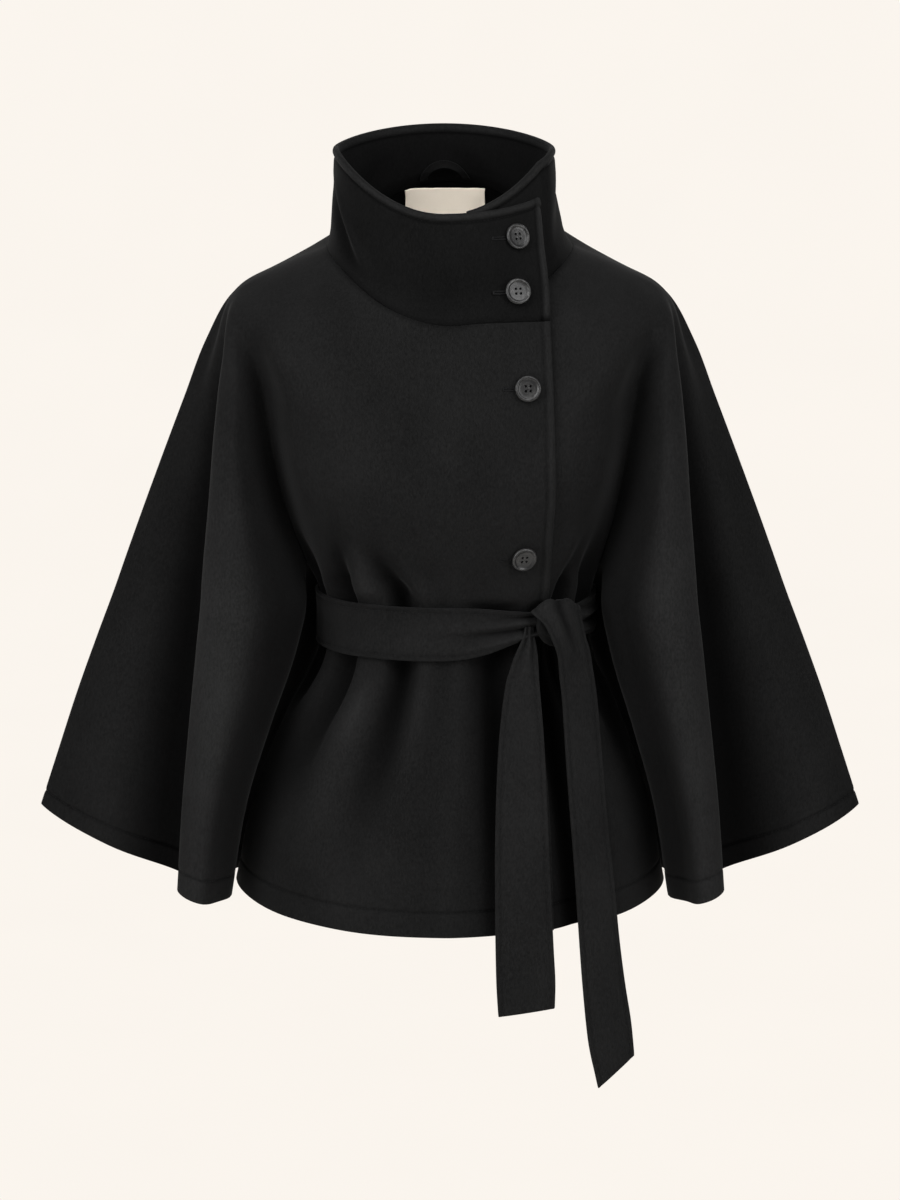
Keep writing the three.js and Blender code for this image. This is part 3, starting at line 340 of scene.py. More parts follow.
class CoatForm:
    """The surface that the coat's panels, belt and label lie on."""

    def __init__(self) -> None:
        """Works out the named lines that run down each quarter."""
        self.runs: dict[tuple[int, int, str], tuple[Array, Array, Array]] = {}
        for side in Side:
            for face in Face:
                for part in Part:
                    self.runs[side.value, face.value, part.value] = self._run(side.value, face.value, part)

    @staticmethod
    def _height(ring: Ring, out: Array | float, face: int) -> Array | float:
        """The height of a ring at a distance out from the centre."""
        centre = ring.z if face > 0 else ring.z_back
        return centre + (ring.arm_z - centre) * (out / ring.arm_x) ** ring.sweep

    @staticmethod
    def _shift(index: int) -> float:
        """How far the belt pulls a ring to the wearer's left."""
        return WAIST_SHIFT_X * max(0.0, 1 - abs(index - BELT_TOP - 0.4) / 3)

    def _ring_points(self, ring: Ring, side: int, face: int, index: int) -> Array:
        """The eleven points where the named lines cross one ring."""
        depth = ring.fore if face > 0 else ring.aft
        rows = []
        for name, angle, follows in zip(LINE_NAMES, LINE_ANGLE, LINE_FOLLOWS[face]):
            out = ring.body * math.sin(angle)
            fuller = index > 0 and name in ("side", "bust")
            fore = depth * max(0.0, math.cos(angle)) ** (FULLNESS if fuller else 1)
            if ring.flute:
                out, fore = self._flute_point(ring, name, face, out, fore)
            x = side * out + self._shift(index) * follows
            rows.append((x, -face * fore, self._height(ring, out, face)))
        return np.array(rows)

    @staticmethod
    def _flute_point(ring: Ring, name: str, face: int, out: float, fore: float) -> tuple[float, float]:
        """Where a named line crosses the flute of a ring, or out and fore if it keeps to the torso."""
        flute = ring.flute
        scale = 1 if face > 0 else BACK_FLUTE
        inner_x = flute.inner_x if face > 0 else flute.inner_back_x
        return {
            "valley": (flute.valley_x, flute.valley_y),
            "inner": (inner_x, flute.inner_y * scale),
            "flute": (lerp(inner_x, flute.crest_x, 0.45), flute.flute_y * scale),
            "crest": (flute.crest_x, flute.flute_y * 0.82 * scale),
            "tuck": (flute.tuck_x, flute.tuck_y * scale),
            "outer": (lerp(flute.tuck_x, ring.arm_x, 0.52), lerp(flute.tuck_y, NOSE_RADIUS, 0.55) * scale),
            "nose": (ring.arm_x - NOSE_RADIUS * 0.8, NOSE_RADIUS),
            "arm": (ring.arm_x, 0.0),
        }.get(name, (out, fore))

    @staticmethod
    def _tangents(points: Array) -> Array:
        """Tangents of a smooth curve through points."""
        ends = unit(points[[1, -1]] - points[[0, -2]])
        middle = parabola_tangent(points[:-2], points[1:-1], points[2:])
        return np.concatenate([ends[:1], middle, ends[1:]])

    def _run(self, side: int, face: int, part: Part) -> tuple[Array, Array, Array]:
        """The named lines of one quarter: points, and tangents for the span above and below each."""
        points = np.array([self._ring_points(ring, side, face, i) for i, ring in enumerate(RINGS)])
        if part is Part.BODY:
            for i in range(UNDERARM + 1, HEM + 1):
                body = RINGS[i].body
                points[i, VALLEY] = (side * body + self._shift(i), 0, self._height(RINGS[i], body, face))
        above = np.stack([self._tangents(points[:, i]) for i in range(len(LINE_NAMES))], axis=1)
        upper = self._tangents(points[:UNDERARM + 1, VALLEY])
        lower = self._tangents(points[UNDERARM:, VALLEY])
        above[:, VALLEY] = np.concatenate([upper, lower[1:]])
        below = above.copy()
        below[UNDERARM, VALLEY] = lower[0]
        return points, above, below

    def _along(self, side: int, face: int, part: Part, ring: Array) -> Array:
        """Where the named lines of a quarter are at each ring value."""
        points, above, below = self.runs[side, face, part.value]
        i = np.clip(np.floor(ring).astype(int), 0, HEM - 1)
        t = (ring - i)[:, None, None]
        return hermite(points[i], below[i], points[i + 1], above[i + 1], t)

    def base(self, side: int, face: int, part: Part, across: Array, ring: Array) -> Array:
        """Points of the surface before folds.

        Args:
            side: 1 for the wearer's left, -1 for the right.
            face: 1 in front, -1 behind.
            part: The torso's part of the quarter or the wing's.
            across: Where each point is across the pattern, from 0 at the centre to 1 at the wing's edge.
            ring: Where it is down the pattern, from 0 at the neck to 11 at the hem.

        Returns:
            One point for each pair of across and ring.
        """
        across, ring = np.broadcast_arrays(np.asarray(across, float), np.asarray(ring, float))
        shape, across, ring = across.shape, across.ravel(), ring.ravel()
        lines, other = self._along(side, face, part, ring), self._along(side, -face, part, ring)
        following = np.concatenate([lines[:, 1:], other[:, -2:-1]], axis=1)
        tangents = np.empty_like(lines)
        tangents[:, 0] = (side, 0, 0)
        tangents[:, 1:] = parabola_tangent(lines[:, :-1], lines[:, 1:], following[:, 1:])
        step = -1 if part is Part.BODY else 1
        creased = unit(lines[:, VALLEY + step] - lines[:, VALLEY]) * step
        rounded = unit(other[:, VALLEY + step] - lines[:, VALLEY + step]) * -step
        over = lerp(tangents[:, VALLEY], creased, smooth(UNDERARM - 3, UNDERARM, ring)[:, None])
        under = lerp(rounded, creased, 1 - smooth(UNDERARM, UNDERARM + 1, ring)[:, None])
        tangents[:, VALLEY] = np.where(ring[:, None] <= UNDERARM, over, under)
        i = np.clip(np.searchsorted(LINE_ACROSS, across - 1e-9) - 1, 0, len(LINE_NAMES) - 2)
        i = np.maximum(i, VALLEY) if part is Part.WING else np.minimum(i, VALLEY - 1)
        t = (across - LINE_ACROSS[i]) / (LINE_ACROSS[i + 1] - LINE_ACROSS[i])
        n = np.arange(len(ring))
        found = hermite(lines[n, i], tangents[n, i], lines[n, i + 1], tangents[n, i + 1], t[:, None])
        return found.reshape(*shape, 3)

    def normal(self, side: int, face: int, part: Part, across: Array, ring: Array) -> Array:
        """The way out of the cloth. At seams it lies along the seam's plane, so that neighbours stay apart."""
        across, ring = np.broadcast_arrays(np.asarray(across, float), np.asarray(ring, float))
        low, high = (SIDE_SEAM, 1.0) if part is Part.WING else (0.0, SIDE_SEAM)
        along = (self.base(side, face, part, np.minimum(high, across + 0.004), ring)
                 - self.base(side, face, part, np.maximum(low, across - 0.004), ring))
        down = (self.base(side, face, part, across, np.minimum(HEM, ring + 0.03))
                - self.base(side, face, part, across, np.maximum(0.0, ring - 0.03)))
        out = np.cross(along, down) * -side * face
        out[(across == 1) | ((across == SIDE_SEAM) & (ring > UNDERARM)), 1] = 0
        out[across == 0, 0] = 0
        out = unit(out)
        out[(across == SIDE_SEAM) & (np.abs(ring - UNDERARM) < 1e-6)] = (0, -face, 0)
        at_neck = ring < 0.1
        if at_neck.any():
            out[at_neck] = neck_normal(self.base(side, face, part, across, np.zeros_like(ring)))[at_neck]
        return out

    def fold_depth(self, side: int, face: int, across: Array, ring: Array) -> Array:
        """How far the gathers of the belt push the torso's cloth in at each place."""
        depth = np.zeros(np.broadcast(across, ring).shape)
        for fold in FOLDS:
            if (fold.side.value, fold.face.value) != (side, face):
                continue
            above = smooth(fold.top, max(BELT_TOP - 0.3, fold.top + 0.9), ring)
            below = smooth(BELT_TOP + 1.2, fold.bottom, ring)
            centre = lerp(lerp(fold.at_top, fold.at_belt, above), fold.at_low, below)
            run = above * (1 - below)
            depth += fold.depth * run * bell(across - centre, fold.width * (1.4 - 0.4 * run))
        return depth

    def drape(self, side: int, face: int, part: Part, across: Array, ring: Array) -> Array:
        """How far the loose cloth waves in at each place, away from its edges."""
        if part is Part.BODY:
            wave = 1.4 * np.sin(across * 21 + ring * 0.9 + side * 1.7) * np.sin(ring * 0.8 + side + face)
            return wave * smooth(0.3, 2.5, ring) * (1 - smooth(0.34, SIDE_SEAM, across)) * smooth(0, 0.05, across)
        flute = bells(across, WING_RELIEF) * (0.9 + 0.2 * side) * (1 if face > 0 else 0.75)
        flute = flute + bells(across, [WING_EDGE_RELIEF]) * smooth(7.0, 10.5, ring)
        wave = 2.6 * np.sin(across * 17 + side * 0.8 + face * 2.0 + ring * 0.15)
        wave = wave * np.sin(ring * 0.42 + across * 5 + side)
        away = smooth(0.43, 0.5, across) * (1 - smooth(0.9, 0.98, across))
        return (wave * smooth(2.5, 6.5, ring) + flute * smooth(3.2, 7.0, ring)) * away

    def inward(self, side: int, face: int, part: Part, across: Array, ring: Array) -> Array:
        """How far the cloth's waves and folds push it in at each place."""
        inward = self.drape(side, face, part, across, ring)
        if part is Part.WING:
            return inward
        inward = inward + self.fold_depth(side, face, across, ring)
        belted = smooth(BELT_TOP - 0.7, BELT_TOP - 0.1, ring) * (1 - smooth(BELT_TOP + 1.1, BELT_TOP + 1.7, ring))
        return np.where(inward < 0, inward * (1 - 0.9 * belted), inward)

    def lift(self, side: int, face: int, part: Part, across: Array, ring: Array) -> Array:
        """How much paler the crests, and how much darker the creases, of the waves and folds are painted: painted
        highlight and painted shade.
        """
        # Painted shade down bands of the wings, over the outer wing and along the neck seam, with painted highlight
        # on the wing crests
        painted_shade_mm = bells(across, PAINTED_SHADE_AND_LIGHT) + 2 * smooth(0.8, 0.9, across)
        painted_shade_mm = painted_shade_mm * smooth(2.2, 4.8, ring) + 7 * bell(ring, 0.04)
        inward = self.inward(side, face, part, across, ring) + painted_shade_mm
        return np.clip(np.exp(-inward / PAINTED_SHADE_DEPTH), *PAINTED_SHADE_RANGE) - 1

    def cloth(self, side: int, face: int, part: Part, across: Array, ring: Array,
              push: Array | float = 0.0) -> tuple[Array, Array]:
        """The cloth's outer points with their folds, and the way out of each.

        Args:
            side: 1 for the wearer's left, -1 for the right.
            face: 1 in front, -1 behind.
            part: The torso's part of the quarter or the wing's.
            across: Where each point is across the pattern.
            ring: Where it is down the pattern.
            push: How far it stands out from the shared surface.

        Returns:
            The points and the normals.
        """
        across, ring = np.broadcast_arrays(np.asarray(across, float), np.asarray(ring, float))
        normals = self.normal(side, face, part, across, ring)
        inward = self.inward(side, face, part, across, ring)
        out = np.broadcast_to(np.asarray(push - inward), across.shape)
        return self.base(side, face, part, across, ring) + normals * out[..., None], normals

    def find(self, x: Array, z: Array, face: int) -> tuple[Array, Array, Array]:
        """Finds where on the torso the surface has a given X and Z.

        Args:
            x: The X of each place, in millimetres.
            z: The Z of each place.
            face: 1 in front, -1 behind.

        Returns:
            The side, across and ring of each place.
        """
        x, z = np.broadcast_arrays(np.asarray(x, float), np.asarray(z, float))
        side = np.where(x < 0, -1, 1)
        across, ring = np.full(x.shape, 0.1), np.full(x.shape, 3.0)
        for one in (-1, 1):
            mask = side == one
            if not mask.any():
                continue
            want_x, want_z = x[mask], z[mask]
            a, r = across[mask], ring[mask]
            for _ in range(14):
                here = self.base(one, face, Part.BODY, a, r)
                da = self.base(one, face, Part.BODY, np.minimum(a + 0.003, SIDE_SEAM), r) - here
                dr = self.base(one, face, Part.BODY, a, np.minimum(r + 0.01, HEM)) - here
                ax, az = da[..., 0] / 0.003, da[..., 2] / 0.003
                rx, rz = dr[..., 0] / 0.01, dr[..., 2] / 0.01
                miss_x, miss_z = want_x - here[..., 0], want_z - here[..., 2]
                across_by = ax * rz - az * rx
                across_by = np.where(np.abs(across_by) < 1e-6, 1e-6, across_by)
                a = np.clip(a + np.clip((miss_x * rz - miss_z * rx) / across_by, -0.1, 0.1), 0, SIDE_SEAM - 0.0031)
                r = np.clip(r + np.clip((ax * miss_z - az * miss_x) / across_by, -1.5, 1.5), 0, HEM - 0.011)
            across[mask], ring[mask] = a, r
        return side, across, ring

    def torso(self, x: Array, z: Array, face: int, push: float) -> tuple[Array, Array]:
        """The unfolded torso's points and normals at given X and Z, moved out by push."""
        side, across, ring = self.find(x, z, face)
        points, normals = np.zeros((*side.shape, 3)), np.zeros((*side.shape, 3))
        for one in (-1, 1):
            mask = side == one
            if mask.any():
                normals[mask] = self.normal(one, face, Part.BODY, across[mask], ring[mask])
                points[mask] = self.base(one, face, Part.BODY, across[mask], ring[mask]) + normals[mask] * push
        return points, normals

    def front_at(self, x: Array, z: Array, push: float) -> Array:
        """The torso's front, moved out by push, where it has exactly the given X and Z."""
        off_x, off_z = np.zeros_like(x), np.zeros_like(z)
        for _ in range(5):
            points, _ = self.torso(x + off_x, z + off_z, 1, push)
            off_x, off_z = off_x + x - points[..., 0], off_z + z - points[..., 2]
        return np.stack([x, points[..., 1], z], axis=-1)


def neck_normal(points: Array) -> Array:
    """The direction of the seam allowance at the neck seam."""
    depth = np.where(points[..., 1] < 0, NECK["fore"], NECK["aft"])
    flat = np.stack([points[..., 0] / NECK["half"] ** 2, points[..., 1] / depth ** 2, np.zeros_like(depth)], axis=-1)
    lean = np.radians(15 + 30 * np.minimum(1, (points[..., 0] / NECK["half"]) ** 2))[..., None]
    return unit(flat) * np.cos(lean) + np.array([0.0, 0.0, 1.0]) * np.sin(lean)


LAP_EDGE_Z = np.array([-662, -470, -340, -233, -125, -60, 45.0])
LAP_EDGE_X = np.array([104, 98, 96, 102, 99.5, 96.5, 87.5])


def lap_edge_x(z: Array | float) -> Array | float:
    """The X of the right front's free edge at a height."""
    return np.interp(z, LAP_EDGE_Z, LAP_EDGE_X)


def lap_seam_z(share: Array | float) -> Array | float:
    """The height of the lap's neck seam, a share of the way to its free edge."""
    return LAP_SEAM_Z - LAP_SEAM_DIP * (1 - smooth(0.0, 0.35, share))


# Materials


class Graph:
    """A material's node tree, with short calls to add to it."""

    def __init__(self, name: str) -> None:
        """Starts a material with a principled shader."""
        self.material = bpy.data.materials.new(name)
        self.material.use_nodes = True
        self.tree = self.material.node_tree
        self.shader = next(n for n in self.tree.nodes if n.type == "BSDF_PRINCIPLED")
        self.place = self.add("ShaderNodeTexCoord").outputs["Object"]

    def add(self, kind: str, links: dict | None = None, **settings: object) -> bpy.types.Node:
        """Adds a node.

        Args:
            kind: The node's type.
            links: For each input, by name or number, the socket or value that it takes.
            **settings: The node's own settings.

        Returns:
            The node.
        """
        node = self.tree.nodes.new(kind)
        for name, value in settings.items():
            setattr(node, name, value)
        for key, value in (links or {}).items():
            if isinstance(value, Socket):
                self.tree.links.new(value, node.inputs[key])
            else:
                node.inputs[key].default_value = value
        return node

    def noise(self, scale: float, detail: float = 2.0, stretch: Triple = (1, 1, 1),
              roughness: float = 0.5) -> Socket:
        """Even noise on the piece's own place, finer along an axis by its stretch."""
        moved = self.add("ShaderNodeMapping", {"Vector": self.place, "Scale": stretch})
        return self.add("ShaderNodeTexNoise", {"Vector": moved.outputs[0], "Scale": scale, "Detail": detail,
                                               "Roughness": roughness}).outputs["Fac"]

    def ramp(self, value: Socket, stops: Sequence[tuple[float, tuple]]) -> Socket:
        """Colours picked by a value, with stops of place and colour."""
        node = self.add("ShaderNodeValToRGB", {"Fac": value})
        while len(node.color_ramp.elements) < len(stops):
            node.color_ramp.elements.new(0.5)
        for element, (at, colour) in zip(node.color_ramp.elements, stops):
            element.position, element.color = at, (*colour, 1)
        return node.outputs["Color"]

    def math(self, operation: str, first: object, second: object = 0.5) -> Socket:
        """One sum on two values."""
        return self.add("ShaderNodeMath", {0: first, 1: second}, operation=operation).outputs[0]

    def bump(self, height: Socket, strength: float, distance: float,
             below: Socket | None = None) -> Socket:
        """A bump of a height, over another bump if given."""
        links = {"Height": height, "Strength": strength, "Distance": distance}
        if below is not None:
            links["Normal"] = below
        return self.add("ShaderNodeBump", links).outputs["Normal"]

    def finish(self, **sockets: object) -> Material:
        """Sets the shader's sockets, given with _ for a space, and returns the material."""
        for name, value in sockets.items():
            socket = self.shader.inputs[name.replace("_", " ")]
            if isinstance(value, Socket):
                self.tree.links.new(value, socket)
            else:
                socket.default_value = value
        return self.material


@dataclass(frozen=True)
class WoolFinish:
    """Black melton wool with a short brushed nap."""

    name: str = "black_melton"
    deep: Triple = (0.0031, 0.0031, 0.0031)
    lifted: Triple = (0.006, 0.006, 0.006)
    roughness: float = 0.95
    sheen: float = 0.018
    sheen_roughness: float = 0.38

    def build(self) -> Material:
        """Makes the material: cloudy nap, flecks of fibre and a matted surface, with painted light and shade from the
        lift attribute.
        """
        graph = Graph(self.name)
        cloud = graph.noise(16, 3, (1, 1, 0.7), 0.55)
        fleck = graph.noise(620, 3, (1, 1, 0.45), 0.65)
        fibre = graph.noise(1700, 2, (1, 1, 0.22), 0.6)
        tone = graph.math("ADD", graph.math("MULTIPLY", cloud, 0.28), graph.math("MULTIPLY", fleck, 0.72))
        even = graph.ramp(tone, [(0.36, self.deep), (0.64, self.lifted)])
        # The lift attribute scales the colour: painted shade in creases, hollows and the inside, painted highlight on
        # crests and rolled edges
        lift = graph.math("ADD", graph.add("ShaderNodeAttribute", attribute_name="lift").outputs["Fac"], 1.0)
        colour = graph.add("ShaderNodeVectorMath", {0: even, 1: lift}, operation="MULTIPLY").outputs[0]
        matted = graph.bump(fleck, 0.35, 0.0005)
        nap = graph.bump(fibre, 0.3, 0.0003, matted)
        return graph.finish(Base_Color=colour, Roughness=self.roughness, Normal=nap, Specular_IOR_Level=0.03,
                            Sheen_Weight=self.sheen, Sheen_Roughness=self.sheen_roughness,
                            Sheen_Tint=(0.9, 0.9, 0.9, 1))


@dataclass(frozen=True)
class ThreadFinish:
    """Black sewing thread."""

    name: str = "black_thread"
    colour: Triple = (0.0022, 0.0022, 0.0023)
    twist: float = 1400.0

    def build(self) -> Material:
        """Makes the material, with the thread's twist as a fine bump."""
        graph = Graph(self.name)
        strand = graph.noise(self.twist, 1, (1, 1, 1), 0.4)
        lighter = tuple(c * 1.8 for c in self.colour)
        colour = graph.ramp(strand, [(0.35, self.colour), (0.7, lighter)])
        return graph.finish(Base_Color=colour, Roughness=0.8, Normal=graph.bump(strand, 0.4, 0.0002),
                            Specular_IOR_Level=0.08)


@dataclass(frozen=True)
class ButtonFinish:
    """Polished resin, marbled in dark greys."""

    name: str = "marbled_resin"
    dark: Triple = (0.0025, 0.0025, 0.0027)
    middle: Triple = (0.0045, 0.0044, 0.0043)
    light: Triple = (0.015, 0.0146, 0.0142)

    def build(self) -> Material:
        """Makes the material, with clouds drawn out into streaks."""
        graph = Graph(self.name)
        bend = graph.add("ShaderNodeTexNoise", {"Vector": graph.place, "Scale": 70.0, "Detail": 2.0}).outputs["Color"]
        mixed = graph.add("ShaderNodeMix", {"Factor": 0.03, 6: graph.place, 7: bend}, data_type="RGBA",
                          blend_type="LINEAR_LIGHT")
        streak = graph.add("ShaderNodeTexNoise", {"Vector": mixed.outputs[2], "Scale": 90.0, "Detail": 2.0,
                                                  "Roughness": 0.6, "Distortion": 1.4}).outputs["Fac"]
        colour = graph.ramp(streak, [(0.38, self.dark), (0.52, self.middle), (0.66, self.light), (0.8, self.middle)])
        wear = graph.noise(900, 2)
        rough = graph.add("ShaderNodeMapRange", {"Value": wear, "To Min": 0.34, "To Max": 0.44}).outputs[0]
        return graph.finish(Base_Color=colour, Roughness=rough, Normal=graph.bump(wear, 0.06, 0.0002),
                            Specular_IOR_Level=0.26, Coat_Weight=0.05, Coat_Roughness=0.2)


@dataclass(frozen=True)
class LabelFinish:
    """Cream woven satin, left blank."""

    name: str = "cream_satin"
    pale: Triple = (0.96, 0.86, 0.73)
    shade: Triple = (0.89, 0.79, 0.66)

    def build(self) -> Material:
        """Makes the material, with weft floats across and fine warp lines down."""
        graph = Graph(self.name)
        weft, warp = (graph.add("ShaderNodeTexWave", {"Vector": graph.place, "Scale": scale, "Distortion": distortion,
                                                      "Detail": 1.0}, bands_direction=way).outputs["Fac"]
                      for scale, distortion, way in ((520.0, 0.6, "Z"), (380.0, 0.8, "X")))
        weave = graph.math("MULTIPLY", weft, warp)
        cloud = graph.math("MULTIPLY", graph.noise(60), 0.4)
        tone = graph.math("ADD", graph.math("MULTIPLY", weave, 0.6), cloud)
        colour = graph.ramp(tone, [(0.2, self.shade), (0.6, self.pale)])
        return graph.finish(Base_Color=colour, Roughness=0.5, Normal=graph.bump(weave, 0.25, 0.0002),
                            Sheen_Weight=0.2, Sheen_Roughness=0.3)


@dataclass(frozen=True)
class FloorFinish:
    """Plain pale floor, lit from within behind the coat as a backdrop."""

    name: str = "pale_floor"
    colour: Triple = (0.82, 0.8, 0.77)
    glow: Triple = (0.98, 0.93, 0.87)
    lit_from: float = 0.45
    lit_to: float = 1.15

    def build(self) -> Material:
        """Makes the material, nearly even, with a trace of unevenness."""
        graph = Graph(self.name)
        grain = graph.noise(3, 2)
        place = graph.add("ShaderNodeSeparateXYZ", {0: graph.place}).outputs["Y"]
        lit = graph.add("ShaderNodeMapRange", {"Value": place, "From Min": self.lit_from, "From Max": self.lit_to})
        unlit = graph.math("SUBTRACT", 1.0, lit.outputs[0])
        faded = graph.add("ShaderNodeMix", {"Factor": unlit, 6: (0, 0, 0, 1), 7: (*self.colour, 1)}, data_type="RGBA")
        even = graph.math("ADD", graph.math("MULTIPLY", grain, 0.02), 0.97)
        strength = graph.math("MULTIPLY", lit.outputs[0], even)
        return graph.finish(Base_Color=faded.outputs[2], Roughness=0.9, Specular_IOR_Level=0.0,
                            Emission_Color=(*self.glow, 1), Emission_Strength=strength)


@dataclass
class Finishes:
    """Every material of the coat, made once."""

    wool: Material = field(default_factory=lambda: WoolFinish().build())
    thread: Material = field(default_factory=lambda: ThreadFinish().build())
    button: Material = field(default_factory=lambda: ButtonFinish().build())
    label: Material = field(default_factory=lambda: LabelFinish().build())


# Making pieces


def new_piece(name: str, mesh: Mesh, material: Material,
              replaces: Sequence[str] = ()) -> Piece:
    """Turns a bmesh in metres into a piece that rides on the coat.

    Args:
        name: The piece's name.
        mesh: Its shape. It is freed.
        material: Its finish.
        replaces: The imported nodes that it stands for.

    Returns:
        The object.
    """
    data = bpy.data.meshes.new(name)
    mesh.to_mesh(data)
    mesh.free()
    data.materials.append(material)
    data.shade_smooth()
    piece = bpy.data.objects.new(name, data)
    bpy.context.scene.collection.objects.link(piece)
    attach(piece, "root")
    if replaces:
        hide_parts(*replaces)
    return piece


def rounded(piece: Piece, levels: int = 1) -> None:
    """Rounds a piece's edges by subdivision."""
    modifier = piece.modifiers.new("rounding", "SUBSURF")
    modifier.levels = modifier.render_levels = levels
    modifier.boundary_smooth = "ALL"


def cloth_mesh(walls: Sequence[Wall]) -> Mesh:
    """Builds cloth from created grids, joined where their edges meet, with its thickness extruded.

    Args:
        walls: The stretches of the piece.

    Returns:
        A closed mesh in metres.
    """
    mesh = bmesh.new()
    cell = mesh.verts.layers.int.new("cell")
    # The lift layer carries each point's painted light and shade
    lift = mesh.verts.layers.float.new("lift")
    outer, inner, lifts, inner_lifts = [], [], [], []
    for wall in walls:
        rows, columns = wall.points.shape[:2]
        made = bmesh.ops.create_grid(mesh, x_segments=columns - 1, y_segments=rows - 1, size=1.0)["verts"]
        first = sum(len(block) for block in outer)
        outer.append(wall.points.reshape(-1, 3) * MM)
        inner.append(wall.inner().reshape(-1, 3) * MM)
        lifts.append(np.broadcast_to(wall.lift, (rows, columns)).ravel())
        inner_lifts.append(lifts[-1] if wall.inner_lift is None else np.full(rows * columns, wall.inner_lift))
        for vert in made:
            column = round((vert.co.x + 1) / 2 * (columns - 1))
            row = round((1 - vert.co.y) / 2 * (rows - 1))
            vert[cell] = first + row * columns + column
    places, backs, lifted, inner_lifted = (np.concatenate(table) for table in (outer, inner, lifts, inner_lifts))
    for vert in mesh.verts:
        vert.co = places[vert[cell]]
        vert[lift] = lifted[vert[cell]]
    bmesh.ops.remove_doubles(mesh, verts=mesh.verts[:], dist=2e-6)
    grown = bmesh.ops.extrude_face_region(mesh, geom=mesh.faces[:])
    for item in grown["geom"]:
        if isinstance(item, bmesh.types.BMVert):
            item.co = backs[item[cell]]
            item[lift] = inner_lifted[item[cell]]
    bmesh.ops.recalc_face_normals(mesh, faces=mesh.faces[:])
    return mesh


@dataclass(frozen=True)
class Cut:
    """How a piece of cloth is cut: its flat width, length and area, in metres, and how it is held."""

    width: float
    length: float
    area: float
    held: str = "hung"
    rests_on: tuple[str, ...] = ("collar",)

    def declare(self, piece: Piece, *threads: Piece) -> None:
        """Takes a piece and its threads, and does nothing with them."""


# Widths and lengths run along the cloth, and areas are what shows of each piece's outer face.
CUTS = {
    "front_right": Cut(0.56, 0.74, 0.385),
    "front_left": Cut(0.47, 0.74, 0.307),
    "back_right": Cut(0.47, 0.8, 0.3194),
    "back_left": Cut(0.47, 0.8, 0.3186),
    "collar": Cut(0.78, 0.125, 0.0703, rests_on=("front_right_cloth", "back_left_cloth")),
    "belt": Cut(0.8, 0.056, 0.0403, "gathered", ("front_right_cloth", "back_left_cloth")),
    "belt_tail_rear": Cut(0.39, 0.06, 0.0193, rests_on=("belt_knot_cloth",)),
    "belt_tail_front": Cut(0.51, 0.056, 0.0236, rests_on=("belt_knot_cloth",)),
    "hanger_loop": Cut(0.09, 0.012, 0.00054, rests_on=("collar_cloth",)),
    "label": Cut(0.084, 0.038, 0.00315, rests_on=("back_left_cloth",)),
}


def cloth_piece(node: str, mesh: Mesh, material: Material, ending: str = "cloth") -> Piece:
    """Makes the rounded piece of cloth that stands for a node, named after it with an ending."""
    piece = new_piece(f"{node}_{ending}", mesh, material, [node])
    rounded(piece)
    return piece


@dataclass(frozen=True)
class Stitching:
    """A row of thread stitches sunk a little into the cloth, in millimetres."""

    pitch: float = 3.6
    length: float = 2.7
    thick: float = 0.62
    proud: float = 0.05

    def sew(self, mesh: Mesh, points: Array, normals: Array) -> None:
        """Adds stitches along a line.

        Args:
            mesh: The mesh that takes them, in metres.
            points: The line, in millimetres.
            normals: The way out of the cloth at each of its points.
        """
        steps = np.linalg.norm(np.diff(points, axis=0), axis=1)
        gone = np.concatenate([[0.0], np.cumsum(steps)])
        count = max(1, int(gone[-1] // self.pitch))
        run = bmesh.new()
        for k in range(count):
            middle = (k + 0.5) * gone[-1] / count
            at, before, after = (np.array([np.interp(middle + shift, gone, points[:, i]) for i in range(3)])
                                 for shift in (0.0, -self.length / 2, self.length / 2))
            out = unit(np.array([np.interp(middle, gone, normals[:, i]) for i in range(3)]))
            self.stitch(run, at + out * self.proud, after - before, out)
            if len(run.verts) > 900 or k == count - 1:
                self.add_run(mesh, run)
                run = bmesh.new()
        run.free()

    @staticmethod
    def add_run(mesh: Mesh, run: Mesh) -> None:
        """Moves a short run of stitches into the mesh, because operators slow down as a mesh grows."""
        carried = bpy.data.meshes.new("run")
        run.to_mesh(carried)
        run.free()
        mesh.from_mesh(carried)
        bpy.data.meshes.remove(carried)

    def stitch(self, mesh: Mesh, at: Array, along: Array, out: Array) -> None:
        """Adds one stitch: a slim grain of thread.

        Args:
            mesh: The mesh that takes it, in metres.
            at: Its middle, in millimetres.
            along: The way it runs, as long as the stitch.
            out: The way out of the cloth.
        """
        run = unit(along)
        out = unit(out - run * np.dot(out, run))
        wide = np.cross(out, run)
        length = float(np.linalg.norm(along))
        place = Matrix.Identity(4)
        for i, (axis, stretch) in enumerate(((wide, self.thick), (out, self.thick * 0.8), (run, length))):
            place.col[i] = (*(axis * stretch * MM / 2), 0)
        place.col[3] = (*(at * MM), 1)
        bmesh.ops.create_uvsphere(mesh, u_segments=6, v_segments=4, radius=1.0, matrix=place)


# The panels

NECK_SUPPORT_RING = NECK_RING + 0.03
CAD_ROWS = [NECK_RING, 0.5, 1, 1.5, 2, 2.5, 3, 3.5, 4, 4.6, 5.2, 5.7, 6, 6.4, 7, 7.5, 8, 8.5, 9, 9.7, 10.4]
HEM_ROWS = [10.5, 10.58, 10.64, 10.69, 10.72, 10.735, 10.75, 10.765, 10.78, 10.81, 10.86, 10.91, 10.95, 10.98, 11.0]
HEM_STITCH = 10.75
BODY_COLUMNS = [0, 0.045, 0.09, 0.13, 0.165, 0.2, 0.235, 0.265, 0.295, 0.325, 0.36, 0.39, SIDE_SEAM]
WING_COLUMNS = [SIDE_SEAM, 0.41, 0.44, 0.48, 0.525, 0.57, 0.6, 0.63, 0.66, 0.705, 0.75, 0.79, 0.83, 0.87, 0.92, 0.965,
                0.985, 0.997, 1.0]
